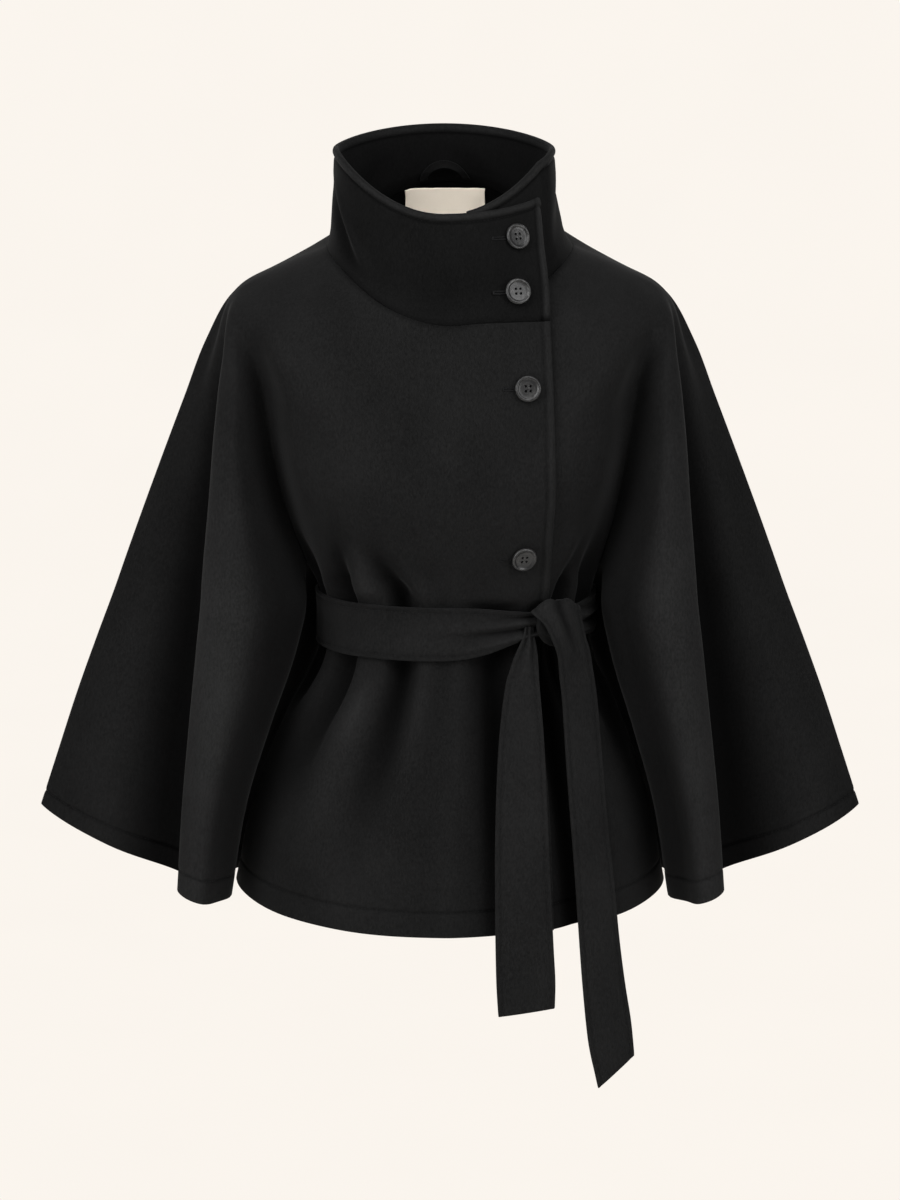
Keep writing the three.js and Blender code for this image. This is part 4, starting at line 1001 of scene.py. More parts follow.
LAP_FROM_EDGE = [0.0, 1.2, 3.0, 5.0, 6.8, 8.0, 9.2, 11.0, 14.0, 19.0, 26.0, 34.0, 43.0, 53.0, 63.0, 73.0, 83.0, 93.0]
LAP_STITCH = 8.0
LAP_WIDTH = 99.0


@dataclass
class Panels:
    """The four body panels, each cut in one with half of a wing sleeve."""

    form: CoatForm
    finishes: Finishes
    stitching: Stitching = Stitching()
    groove: float = 0.9
    groove_width: float = 1.5
    hem_extra: float = 1.1
    edge_bulge: float = 0.8
    body_between: int = 3
    wing_between: int = 2
    rows: Array = field(default_factory=lambda: np.concatenate([CAD_ROWS[:1], [NECK_SUPPORT_RING],
                                                                finer(CAD_ROWS, 4)[1:], HEM_ROWS]))

    def __post_init__(self) -> None:
        """Finds the row that the hem is sewn along."""
        self.hem_row = int(np.argmin(np.abs(self.rows - HEM_STITCH)))

    @staticmethod
    def seam_pressed(points: Array, face: int) -> Array:
        """A panel's edge, moved just past the seam's plane where it is sewn to its neighbour."""
        points = points.copy()
        points[..., 1] = np.where(np.abs(points[..., 1]) < 2 * SEAM_PRESS, face * SEAM_PRESS, points[..., 1])
        return points

    def hem_wall(self, points: Array, normals: Array, lift: Array) -> Wall:
        """Cloth with a hem that is turned up behind, and pressed in along its stitches."""
        ring = self.rows[:, None]
        thick = CLOTH + self.hem_extra * smooth(HEM_STITCH - 0.05, HEM_STITCH + 0.02, ring)
        thick = thick * (1 - 0.3 * smooth(10.9, HEM, ring))
        # The inside of the cloth is painted darker, as painted shade; pressed() adds painted shade in the hem's
        # stitch groove
        wall = Wall(points, normals, np.broadcast_to(thick, points.shape[:2]).copy(), lift, INSIDE_PAINTED_SHADE)
        spacing = np.linalg.norm(points[-1] - points[-len(HEM_ROWS)], axis=-1) / (HEM - HEM_ROWS[0])
        return wall.pressed(self.groove * bell((ring - HEM_STITCH) * spacing[None], self.groove_width))

    def wing(self, side: int, face: int) -> Wall:
        """The wing's part of a quarter."""
        across, ring = np.meshgrid(finer(WING_COLUMNS, self.wing_between), self.rows)
        points, normals = self.form.cloth(side, face, Part.WING, across, ring)
        body, body_normals = self.form.cloth(side, face, Part.BODY, np.full(len(self.rows), SIDE_SEAM), self.rows)
        joined = self.rows <= UNDERARM
        points[joined, 0], normals[joined, 0] = body[joined], body_normals[joined]
        points[:, 0], points[:, -1] = self.seam_pressed(points[:, 0], face), self.seam_pressed(points[:, -1], face)
        return self.hem_wall(points, normals, self.form.lift(side, face, Part.WING, across, ring))

    def body(self, side: int, face: int, columns: Array, push: Array | float = 0.0) -> tuple[Array, Array, Array]:
        """The torso's part of a quarter, as points, normals and lift.

        Args:
            side: 1 for the wearer's left, -1 for the right.
            face: 1 in front, -1 behind.
            columns: Where each column is across the pattern, for all rows or for each.
            push: How far the cloth stands out from the shared surface.

        Returns:
            The points, with the last column pressed against its neighbour, the normals and the lift of painted light
            and shade.
        """
        across = np.broadcast_to(columns, (len(self.rows), np.shape(columns)[-1]))
        points, normals = self.form.cloth(side, face, Part.BODY, across, self.rows[:, None], push)
        points[:, -1] = self.seam_pressed(points[:, -1], face)
        return points, normals, self.form.lift(side, face, Part.BODY, across, self.rows[:, None])

    def lap_places(self, share: Array, ring: Array) -> tuple[Array, Array]:
        """Where the right front lies past the centre, a share of the way to its free edge.

        Args:
            share: The share of each place.
            ring: The ring of its row.

        Returns:
            The across and ring of each place. The first rows run from the front's level neck seam.
        """
        reached = np.maximum(ring, LAP_LEVEL_RINGS)
        across = np.full(ring.shape, 0.05)
        for _ in range(4):
            z = self.form.base(1, 1, Part.BODY, across, reached)[..., 2]
            _, across, _ = self.form.find(lap_edge_x(z) * share, z, 1)
        level = lerp(lap_seam_z(share), z, np.minimum(1, ring / LAP_LEVEL_RINGS))
        _, low_across, low_ring = self.form.find(lap_edge_x(level) * share, level, 1)
        upper = ring < LAP_LEVEL_RINGS
        low_ring = np.maximum(low_ring + 0.6 * NECK_RING, ring)
        return np.where(upper, low_across, across), np.where(upper, low_ring, ring)

    def right_front(self) -> tuple[Mesh, Mesh]:
        """The right front: from its side seam across the centre to its free edge on the left of the chest."""
        distance, ring = np.meshgrid(np.array(LAP_FROM_EDGE), self.rows)
        share = np.clip(1 - distance / LAP_WIDTH, 0.04, 1)
        across, lap_ring = self.lap_places(share, ring)
        lap, lap_normals = self.form.cloth(1, 1, Part.BODY, across, lap_ring, LAP_RISE)
        lap_normals[ring < 0.1] = neck_normal(lap[ring < 0.1])
        columns = finer(BODY_COLUMNS, self.body_between)
        x = self.form.base(-1, 1, Part.BODY, columns[None], self.rows[:, None])[..., 0]
        body, body_normals, body_lift = self.body(-1, 1, columns, LAP_RISE * smooth(-40, 15, x))
        points, normals = np.concatenate([lap, body], axis=1), np.concatenate([lap_normals, body_normals], axis=1)
        lap_lift = self.form.lift(1, 1, Part.BODY, across, lap_ring)
        wall = self.hem_wall(points, normals, np.concatenate([lap_lift, body_lift], axis=1))
        # Through pressed(), painted shade in the stitch groove and a painted highlight on the raised edge
        edge = np.zeros(points.shape[:2])
        edge[:, :distance.shape[1]] = (self.groove * bell(distance - LAP_STITCH, self.groove_width)
                                       - self.edge_bulge * bell(distance - LAP_STITCH / 2, LAP_STITCH / 2.4))
        wall = wall.pressed(edge)
        stitches = bmesh.new()
        column, down = LAP_FROM_EDGE.index(LAP_STITCH), slice(1, self.hem_row + 1)
        self.stitching.sew(stitches, wall.points[down, column], wall.normals[down, column])
        wing = self.wing(-1, 1)
        self.sew_hem(stitches, wall, column)
        self.sew_hem(stitches, wing)
        return cloth_mesh([wall, wing]), stitches

    def left_front(self) -> tuple[Mesh, Mesh]:
        """The left front: from its edge under the right front to its own side seam."""
        z = self.form.base(1, 1, Part.BODY, np.full(len(self.rows), 0.05), self.rows)[..., 2]
        _, edge, _ = self.form.find(np.full(len(z), UNDERLAP_X), z, 1)
        columns = lerp(edge[:, None], SIDE_SEAM, finer(BODY_COLUMNS, self.body_between)[None] / SIDE_SEAM)
        columns[:, -1] = SIDE_SEAM
        spots = self.form.base(1, 1, Part.BODY, columns, self.rows[:, None])
        lap = lap_edge_x(np.maximum(spots[..., 2], LAP_SEAM_Z))
        end = np.minimum(lap + 30, spots[:, -1:, 0])
        drop = LAP_GAP + lerp(DOUBLE_CLOTH, CLOTH, smooth(0.8, 2, self.rows))[:, None]
        drop = drop * (1 - smooth(lap + 4, end, spots[..., 0]))
        return self.finished(self.hem_wall(*self.body(1, 1, columns, -drop)), 1, 1)

    def back(self, side: int) -> tuple[Mesh, Mesh]:
        """One half of the back."""
        points, normals, lift = self.body(side, -1, np.insert(finer(BODY_COLUMNS, self.body_between), 1, 0.004))
        points[:, 0, 0] -= side * SEAM_PRESS * 1.4
        return self.finished(self.hem_wall(points, normals, lift), side, -1)

    def finished(self, wall: Wall, side: int, face: int) -> tuple[Mesh, Mesh]:
        """Joins a torso part with its wing, and sews their hems."""
        wing = self.wing(side, face)
        stitches = bmesh.new()
        for sewn in (wall, wing):
            self.sew_hem(stitches, sewn)
        return cloth_mesh([wall, wing]), stitches

    def sew_hem(self, stitches: Mesh, wall: Wall, column: int = 1) -> None:
        """Sews a wall's hem, from a column on."""
        self.stitching.sew(stitches, wall.points[self.hem_row, column:-1], wall.normals[self.hem_row, column:-1])

    def build(self) -> list[Piece]:
        """Makes the four panels."""
        shapes = {"front_right": self.right_front(), "front_left": self.left_front(),
                  "back_right": self.back(-1), "back_left": self.back(1)}
        made = {}
        for node, (cloth, stitches) in shapes.items():
            piece = cloth_piece(node, cloth, self.finishes.wool)
            made[node] = piece, new_piece(f"{node}_stitches", stitches, self.finishes.thread)
        for node, (piece, thread) in made.items():
            CUTS[node].declare(piece, thread)
        return [piece for piece, _ in made.values()]


# The collar

COLLAR_HEIGHT = [0, 0.09, 0.18, 0.36, 0.58, 0.8, 1]
COLLAR_LEAN = [0, 0.3, 0.5, 0.63, 0.75, 0.88, 1]


@dataclass(frozen=True)
class Buckle:
    """A soft buckle between two places of the collar, given by degrees round the neck and share of height."""

    angle: float
    height: float
    to_angle: float
    to_height: float
    width: float
    depth: float


@dataclass
class Collar:
    """The funnel collar: one band that winds round the neck and laps over itself in front."""

    form: CoatForm
    finishes: Finishes
    tab_end: float = 60.0
    tab_top_z: float = 54.0
    tab_corner: float = 5.0
    tab_bow: float = 3.0
    tab_length: float = 94.0
    under_end: float = -348.0
    rim: float = 1.7
    rim_roll: float = 3.8
    top_stitch: float = 9.0
    edge_stitch: float = 8.0
    groove: float = 1.1
    groove_width: float = 1.5
    columns: int = 150
    stitching: Stitching = Stitching()
    from_top: tuple[float, ...] = (0.0, 0.9, 2.4, 4.4, 6.4, 7.8, 9.0, 10.2, 11.6, 14.0, 17.5)
    from_edge: tuple[float, ...] = (0.0, 0.9, 2.6, 4.6, 6.6, 8.0, 9.4, 11.5, 15.0, 21.0, 29.0, 38.0, 48.0, 58.0, 68.0,
                                    78.0, 88.0)
    buckles: tuple[Buckle, ...] = (
        Buckle(-84, 0.62, -52, 0.12, 0.075, 6.0),
        Buckle(-76, 0.66, -43, 0.2, 0.06, -3.2),
        Buckle(-118, 0.2, -140, 0.75, 0.12, 3.0),
        Buckle(-262, 0.7, -285, 0.25, 0.1, 4.0),
        Buckle(-205, 0.15, -190, 0.7, 0.1, 2.2),
        Buckle(-20, 0.28, 30, 0.36, 0.16, 1.8),
    )

    @staticmethod
    def _level(edge: dict[str, float], cosine: Array) -> Array:
        """The height of the neck seam or top edge, by the cosine of the angle round the neck."""
        front = edge["side_z"] + (edge["front_z"] - edge["side_z"]) * cosine ** 2
        back = edge["side_z"] + (edge["back_z"] - edge["side_z"]) * np.abs(cosine) ** edge["sweep"]
        return np.where(cosine > 0, front, back)

    def round_neck(self, angle: Array, height: Array) -> Array:
        """A point of the band at degrees round the neck and a share of its height."""
        angle, height = np.broadcast_arrays(np.asarray(angle, float), np.asarray(height, float))
        lean = np.interp(height, COLLAR_HEIGHT, COLLAR_LEAN)
        sine, cosine = np.sin(np.radians(angle)), np.cos(np.radians(angle))
        x = lerp(NECK["half"], COLLAR_TOP["half"], lean) * sine + COLLAR_SHIFT_X * lean
        fore, aft = lerp(NECK["fore"], COLLAR_TOP["fore"], lean), lerp(NECK["aft"], COLLAR_TOP["aft"], lean)
        y = -np.where(cosine > 0, fore, aft) * cosine
        z = lerp(self._level(NECK, cosine), self._level(COLLAR_TOP, cosine), height)
        return np.stack([x, y, z], axis=-1)

    def __post_init__(self) -> None:
        """Finds the tab's neck seam once, along the right front's level seam."""
        self.seam_shares = np.linspace(0, 1.1, 56)
        x, z = lap_edge_x(LAP_SEAM_Z) * self.seam_shares, lap_seam_z(self.seam_shares)
        points, normals = self.form.torso(x, z, 1, 0.0)
        self.seam = points + normals * (LAP_RISE * smooth(0, 0.2, self.seam_shares))[:, None]

    def tab(self, share: float, height: Array) -> Array:
        """A point of the tab at a share of the way to its free end."""
        height = np.asarray(height, float)
        low = np.array([np.interp(share, self.seam_shares, self.seam[:, i]) for i in range(3)])
        start, end = self.round_neck(self.tab_end * share, 0), self.round_neck(self.tab_end * share, 1)
        round_ = self.round_neck(self.tab_end * share, height)
        gone = self.tab_corner - min(self.tab_corner, (1 - share) * self.tab_length)
        cut = self.tab_corner - math.sqrt(max(0.0, self.tab_corner ** 2 - gone ** 2))
        high = np.array([end[0], end[1], lerp(COLLAR_TOP["front_z"], self.tab_top_z, share ** 1.8) - cut])
        profile = abs(start[0] - end[0]) + abs(start[1] - end[1])
        gone = (np.abs(start[0] - round_[..., 0]) + np.abs(start[1] - round_[..., 1])) / profile
        lean = lerp(gone, height, smooth(0.05, 0.4, share))
        bow = self.tab_bow * smooth(0.4, 0.9, share) * np.sin(math.pi * np.minimum(1, height / 0.6))
        return np.stack([lerp(low[0], high[0], lean) + bow / 2, lerp(low[1], high[1], lean) - bow,
                         lerp(low[2], high[2], height)], axis=-1)

    def buckle_depth(self, angle: Array, height: Array) -> Array:
        """How far the soft buckles press the band in."""
        depth = np.zeros(np.broadcast(angle, height).shape)
        for buckle in self.buckles:
            run_a, run_h = (buckle.to_angle - buckle.angle) / 100, buckle.to_height - buckle.height
            a, h = (angle - buckle.angle) / 100, height - buckle.height
            along = np.clip((a * run_a + h * run_h) / (run_a ** 2 + run_h ** 2), 0, 1)
            away = np.hypot(a - along * run_a, h - along * run_h)
            depth = depth + buckle.depth * bell(away, buckle.width) * np.sin(math.pi * lerp(0.15, 0.85, along))
        return depth * smooth(0.02, 0.15, height) * (1 - smooth(0.8, 1, height))

    def column_places(self) -> list[tuple[str, float]]:
        """The columns: shares of the tab from its free end, then degrees round the neck."""
        tab = [("tab", 1 - away / self.tab_length) for away in self.from_edge]
        return tab + [("neck", float(a)) for a in np.linspace(0, self.under_end, self.columns)]

    def wall(self) -> Wall:
        """The collar's wall, with its rims rolled and its topstitching pressed in."""
        places = self.column_places()
        points, heights = [], []
        for kind, value in places:
            rise = self.tab if kind == "tab" else self.round_neck
            ends = rise(value, np.array([0.0, 1.0]))
            tall = float(np.linalg.norm(ends[1] - ends[0]))
            top = 1 - np.array(self.from_top[::-1]) / tall
            share = np.concatenate([np.linspace(0, top[0], 26)[:-1], top])
            share[1] = 0.012
            heights.append(share)
            points.append(rise(value, share))
        points, heights = np.stack(points, axis=1), np.stack(heights, axis=1)
        angle = np.array([value if kind == "neck" else 45.0 * value for kind, value in places])[None]
        down, along = np.empty_like(points), np.empty_like(points)
        down[1:-1], down[0], down[-1] = points[:-2] - points[2:], points[0] - points[1], points[-2] - points[-1]
        along[:, 1:-1] = points[:, 2:] - points[:, :-2]
        along[:, 0], along[:, -1] = points[:, 1] - points[:, 0], points[:, -1] - points[:, -2]
        normals = unit(np.cross(along, down))
        normals[0] = neck_normal(points[0])
        left = 360 + angle
        ease = 8 * heights
        under = np.where(angle < -180, 1 - smooth(56 + ease, 64 + ease, left), 0)
        from_top = np.full((points.shape[0], 1), FAR)
        from_top[-len(self.from_top):, 0] = self.from_top[::-1]
        from_edge = np.array([[(1 - value) * self.tab_length if kind == "tab" else FAR for kind, value in places]])
        rolled = np.maximum(*(bell(away - self.rim_roll, self.rim_roll) for away in (from_top, from_edge)))
        rolled = rolled * smooth(0.02, 0.08, heights)
        push = self.rim * rolled - under * (LAP_GAP + DOUBLE_CLOTH) - self.buckle_depth(angle, heights)
        thickness = DOUBLE_CLOTH + self.rim * rolled + 1.1 * bell(from_top - 3.0, 4.5)
        # Painted light and shade: a painted highlight along the rolled rims, the whole collar painted darker, and
        # painted shade in the buckles and along the neck seam
        lift = 1.0 * rolled - 0.48 - 0.05 * self.buckle_depth(angle, heights) - 0.3 * bell(heights, 0.015)
        moved = Wall(points + normals * push[..., None], normals, thickness, lift)
        groove = np.maximum(bell(from_top - self.top_stitch, self.groove_width),
                            bell(from_edge - self.edge_stitch, self.groove_width))
        return moved.pressed(self.groove * groove)

    def surface_at(self, x: float, z: float) -> Array:
        """The tab's outer point at a given X and Z."""
        share, height = 0.6, 0.5
        for _ in range(30):
            point = self.tab(share, np.array([height]))[0]
            share += (x - point[0]) / 110
            height = min(1.0, max(0.0, height + (z - point[2]) / 115))
        return self.tab(share, np.array([height]))[0]

    def build(self) -> Piece:
        """Makes the collar and its topstitching."""
        wall = self.wall()
        piece = cloth_piece("collar", cloth_mesh([wall]), self.finishes.wool)
        stitches = bmesh.new()
        row = wall.points.shape[0] - 1 - self.from_top.index(self.top_stitch)
        column = self.from_edge.index(self.edge_stitch)
        last = wall.points.shape[1] - 8
        self.stitching.sew(stitches, wall.points[row, column:last], wall.normals[row, column:last])
        self.stitching.sew(stitches, wall.points[1:row + 1, column], wall.normals[1:row + 1, column])
        thread = new_piece("collar_stitches", stitches, self.finishes.thread)
        CUTS["collar"].declare(piece, thread)
        return piece


# The tie belt


@dataclass
class Belt:
    """The tie belt: the band round the waist, the knot, and its two hanging ends."""

    form: CoatForm
    finishes: Finishes
    top: float = -340.0
    bottom: float = -396.0
    knot_x: float = 92.0
    knot_middle: tuple[float, float] = (106.0, -361.0)
    knot_half: tuple[float, float] = (22.0, 24.0)
    crease_runs: tuple[float, float] = (72.0, 38.0)
    narrowest: float = 24.0
    narrow_z: float = -361.0
    reach: float = 52.0
    stitch_in: float = 5.0
    stitching: Stitching = Stitching(pitch=3.4, length=2.5)
    groove: float = 0.5
    groove_width: float = 1.5

    # The band's creases: how far out, share down the band away from the knot and beside it, and width
    LONG_CREASES = ((-4.4, 0.56, 0.66, 0.07), (5.0, 0.82, 0.86, 0.12), (4.0, 0.42, 0.36, 0.1))
    SHORT_CREASES = ((-3.0, 0.26, 0.2, 0.06), (-2.0, 0.76, 0.76, 0.045))

    # Creases of the knot and pleats of both ends: how far in, place, and width
    KNOT_CREASES = ((1.9, 0.28, 0.13), (2.2, -0.3, 0.15), (1.1, -0.72, 0.1))
    REAR_PLEATS = ((2.4, 0.36, 0.1), (-1.2, 0.6, 0.12), (1.8, 0.8, 0.07))
    FRONT_PLEATS = ((4.6, 0.56, 0.08), (-1.4, 0.76, 0.1), (-1.2, 0.32, 0.13))

    @staticmethod
    def ring_at(z: Array) -> Array:
        """The ring value at a height on the waist."""
        return BELT_TOP + (RINGS[BELT_TOP].z - z) / (RINGS[BELT_TOP].z - RINGS[BELT_TOP + 1].z)

    def gathers(self, x: Array, v: Array, face: Array) -> Array:
        """How far the band's outer face stands out, with the creases that run to the knot.

        Args:
            x: The X of each cell, in millimetres.
            v: How far down the band each cell is, from 0 to 1.
            face: 1 in front, -1 behind.

        Returns:
            The height of the creases, in millimetres.
        """
        near, close = (bell(x - self.knot_x, run) * (face > 0) for run in self.crease_runs)
        creases = sum(height * bell(v - lerp(far, by_knot, close), width) * run
                      for run, rows in ((near, self.LONG_CREASES), (close, self.SHORT_CREASES))
                      for height, far, by_knot, width in rows)
        slack = 1.1 * np.sin(x * 0.045 + v * 3.0 + face) * np.sin(v * math.pi)
        roll = 1.0 * np.sin(v * math.pi)
        return creases + slack + roll

    def band(self) -> Wall:
        """The wall of the band, once round the waist."""
        columns = finer([0, 0.05, 0.1, 0.15, 0.2, 0.25, 0.3, 0.35, SIDE_SEAM], 6)
        places = ([(1, 1, a) for a in columns] + [(1, -1, a) for a in columns[-2::-1]]
                  + [(-1, -1, a) for a in columns[1:]] + [(-1, 1, a) for a in columns[-2::-1]])
        rows = np.array([0, 0.025, 0.06, 0.09, 0.12, 0.17, 0.22, 0.27, 0.32, 0.37, 0.42, 0.47, 0.51, 0.55, 0.59, 0.63,
                         0.67, 0.71, 0.75, 0.79, 0.83, 0.87, 0.9, 0.93, 0.96, 0.98, 1.0])
        points, normals = np.zeros((len(rows), len(places), 3)), np.zeros((len(rows), len(places), 3))
        creases = np.zeros((len(rows), len(places)))
        for side in (-1, 1):
            for face in (-1, 1):
                picked = [i for i, (s, f, _) in enumerate(places) if (s, f) == (side, face)]
                across = np.array([places[i][2] for i in picked])
                x = self.form.base(side, face, Part.BODY, across, np.full(len(across), BELT_TOP + 0.4))[:, 0]
                near = bell(x - self.knot_x, self.reach) * (face > 0)
                top = lerp(self.top, self.narrow_z + self.narrowest / 2, near)
                bottom = lerp(self.bottom, self.narrow_z - self.narrowest / 2, near)
                z = lerp(top[None], bottom[None], rows[:, None])
                ring = self.ring_at(z)
                normal = self.form.normal(side, face, Part.BODY, np.broadcast_to(across, ring.shape), ring)
                creases[:, picked] = self.gathers(x[None], rows[:, None], np.float64(face))
                out = BELT_OUT + creases[:, picked]
                inner = self.form.base(side, face, Part.BODY, across[None], ring)
                points[:, picked], normals[:, picked] = inner + normal * out[..., None], normal
        # Painted highlight on the crests of the creases and painted shade in their troughs
        wall = Wall.of(points, normals, DOUBLE_CLOTH, np.clip(creases * 0.13, -0.6, 0.45))
        wide = np.linalg.norm(points[-1] - points[0], axis=-1)
        inset = np.minimum(rows[:, None], 1 - rows[:, None]) * wide[None]
        return wall.pressed(self.groove * bell(inset - self.stitch_in, self.groove_width))

    def sew_rows(self, wall: Wall) -> Mesh:
        """Sews a line along both long edges of a wall whose rows run across it."""
        stitches = bmesh.new()
        steps = np.linalg.norm(np.diff(wall.points, axis=0), axis=-1)
        gone = np.concatenate([np.zeros((1, wall.points.shape[1])), np.cumsum(steps, axis=0)])
        near = np.full(wall.points.shape[1], self.stitch_in)
        for places in (near, steps.sum(axis=0) - near):
            line, ways = (np.array([[np.interp(at, gone[:, j], values[:, j, i]) for i in range(3)]
                                    for j, at in enumerate(places)]) for values in (wall.points, wall.normals))
            self.stitching.sew(stitches, line, ways)
        return stitches

    def knot(self) -> Piece:
        """The knot: a rounded lump of folded belt, with creases that run across it."""
        mesh = bmesh.new()
        bmesh.ops.create_uvsphere(mesh, u_segments=64, v_segments=40, radius=1.0)
        spots = np.array([tuple(v.co) for v in mesh.verts])
        # The ball's pole turns to the front, and its back is pressed flat on the band.
        u, v, up = spots[:, 0], spots[:, 1], spots[:, 2]
        (middle_x, middle_z), (half_x, half_z) = self.knot_middle, self.knot_half
        back = self.form.front_at(middle_x + half_x * u * 0.98, middle_z + half_z * v * 0.98, BELT_OUT)
        turn = u * 0.55 + v * 0.85
        rise = np.where(up > 0, 3 + 11 * np.maximum(up, 0) ** 0.8 - bells(turn, self.KNOT_CREASES) * up, LAP_GAP)
        for vert, spot, out in zip(mesh.verts, back, rise):
            vert.co = (spot - np.array([0, out, 0])) * MM
        bmesh.ops.recalc_face_normals(mesh, faces=mesh.faces[:])
        return new_piece("belt_knot_cloth", mesh, self.finishes.wool, ["belt_knot"])

    def tail_wall(self, table: Array, pleats: Sequence[Triple], pinch: tuple[float, float]) -> Wall:
        """The wall of a hanging end.

        Args:
            table: Rows of left X, Y, Z, right X, Y, Z, bow out and bow up.
            pleats: Rows of how far in, share of the way across, and width.
            pinch: The Z that the pleats start at, and the Z above which they are whole.

        Returns:
            The wall, with both long edges pressed in along their stitches.
        """
        columns = self.TAIL_COLUMNS
        t = columns[None, :, None]
        left, right = table[:, None, 0:3], table[:, None, 3:6]
        arch = 4 * t * (1 - t)
        points = lerp(left, right, t)
        points = points + arch * np.stack([np.zeros(len(table)), -table[:, 6], table[:, 7]], axis=-1)[:, None]
        down = np.gradient(points, axis=0)
        across = np.gradient(points, axis=1)
        normals = unit(np.cross(down, across))
        facing = np.sign((normals[..., 1] * -1).mean())
        normals = normals * facing
        inward = bells(columns[None], pleats) * smooth(*pinch, points[..., 2])
        # Painted light over the whole end and painted shade in its pleats
        lift = np.clip(0.2 - 0.15 * inward, -0.6, 0.4)
        wall = Wall.of(points - normals * inward[..., None], normals, DOUBLE_CLOTH, lift)
        wide = np.linalg.norm(table[:, 3:6] - table[:, 0:3], axis=1)[:, None]
        inset = np.minimum(columns[None], 1 - columns[None]) * wide
        return wall.pressed(self.groove * bell(inset - self.stitch_in, self.groove_width))

    REAR = np.array([
        # left x, y, z, right x, y, z, bow out, bow up
        (73, -95, -362, 82, -91, -362, 1.5, 0),
        (71.5, -97.6, -370, 82.5, -93.4, -370, 1.5, 0),
        (68, -99.8, -379, 84.5, -94.6, -379, 1.5, 0),
        (63.5, -102, -389, 86, -95.8, -389, 1.5, 0),
        (59, -104, -402, 87, -97, -402, 1.4, 0),
        (54, -110.5, -419, 88, -101, -419, 1.5, 0),
        (48, -127, -466, 92, -116, -466, 2, 0),
        (45, -139, -524, 95, -128, -524, 2, 0),
        (44, -147, -573, 97, -136.5, -573, 2, 0),
        (44, -152.5, -622, 99.5, -142, -622, 2, 0),
        (44.5, -156.5, -672, 102, -146, -672, 2, 0),
        (45.5, -156.5, -710, 104, -146, -708, 2, 0),
        (47.5, -156, -742, 103.5, -146.5, -736, 1.5, 0),
    ])
    FRONT_END = np.array([
        (84, -88, -352, 122, -72, -350, 3, 6),
        (80, -95, -347, 126, -74, -345, 4, 11),
        (78.5, -101, -346, 128.5, -77, -347, 6, 10),
        (82, -105, -349, 129.5, -79, -351, 8, 6),
        (89, -109, -354, 130, -80, -357, 8, 3),
        (95, -110.5, -362, 131.5, -80, -364, 6.5, 0),
        (101, -110, -375, 134, -80, -376, 4.5, 0),
        (106, -107, -389, 138, -80, -389, 2.5, 0),
        (108, -105.5, -408, 141, -79, -408, 1.4, 0),
        (111, -107, -434, 145, -80, -434, 1.2, 0),
        (113, -111, -466, 148, -84, -466, 1.5, 0),
        (117, -121, -525, 153, -95, -525, 2, 0),
        (121, -129, -574, 157.5, -105, -574, 2, 0),
        (124.5, -134, -622, 163, -110, -622, 2, 0),
        (128, -138, -673, 168, -114, -673, 2, 0),
        (131.5, -139, -719, 174, -116, -719, 2, 0),
        (137, -140, -772, 180, -117, -756, 2, 0),
        (144, -138, -806, 183, -118.5, -785, 1.5, 0),
        (147.5, -136.5, -822, 183.5, -119, -793, 1.2, 0),
    ])
    TAIL_COLUMNS = np.array([0, 0.02, 0.05, 0.08, 0.1, 0.12, 0.15, 0.2, 0.27, 0.34, 0.42, 0.5, 0.58, 0.66, 0.73, 0.8,
                             0.85, 0.88, 0.9, 0.92, 0.95, 0.98, 1.0])

    def build(self) -> list[Piece]:
        """Makes the band, the knot and both ends."""
        band = self.band()
        made = {"belt": self.stretch("belt", band, band)}
        knot = self.knot()
        for node, rows, between, pleats, pinch in (
                ("belt_tail_rear", self.REAR, 6, self.REAR_PLEATS, (-425, -372)),
                ("belt_tail_front", self.FRONT_END, 5, self.FRONT_PLEATS, (-405, -350))):
            wall = self.tail_wall(smooth_rows(rows, between), pleats, pinch)
            turned = Wall(wall.points.transpose(1, 0, 2), wall.normals.transpose(1, 0, 2), wall.thickness.T)
            made[node] = self.stretch(node, wall, turned)
        for node, (piece, thread) in made.items():
            CUTS[node].declare(piece, thread)
        return [knot, *(piece for piece, _ in made.values())]

    def stretch(self, node: str, wall: Wall, across: Wall) -> tuple[Piece, Piece]:
        """Makes a stretch of the belt and its stitches, from its wall and the same wall with rows that run across."""
        piece = cloth_piece(node, cloth_mesh([wall]), self.finishes.wool)
        return piece, new_piece(f"{node}_stitches", self.sew_rows(across), self.finishes.thread)


# Buttons


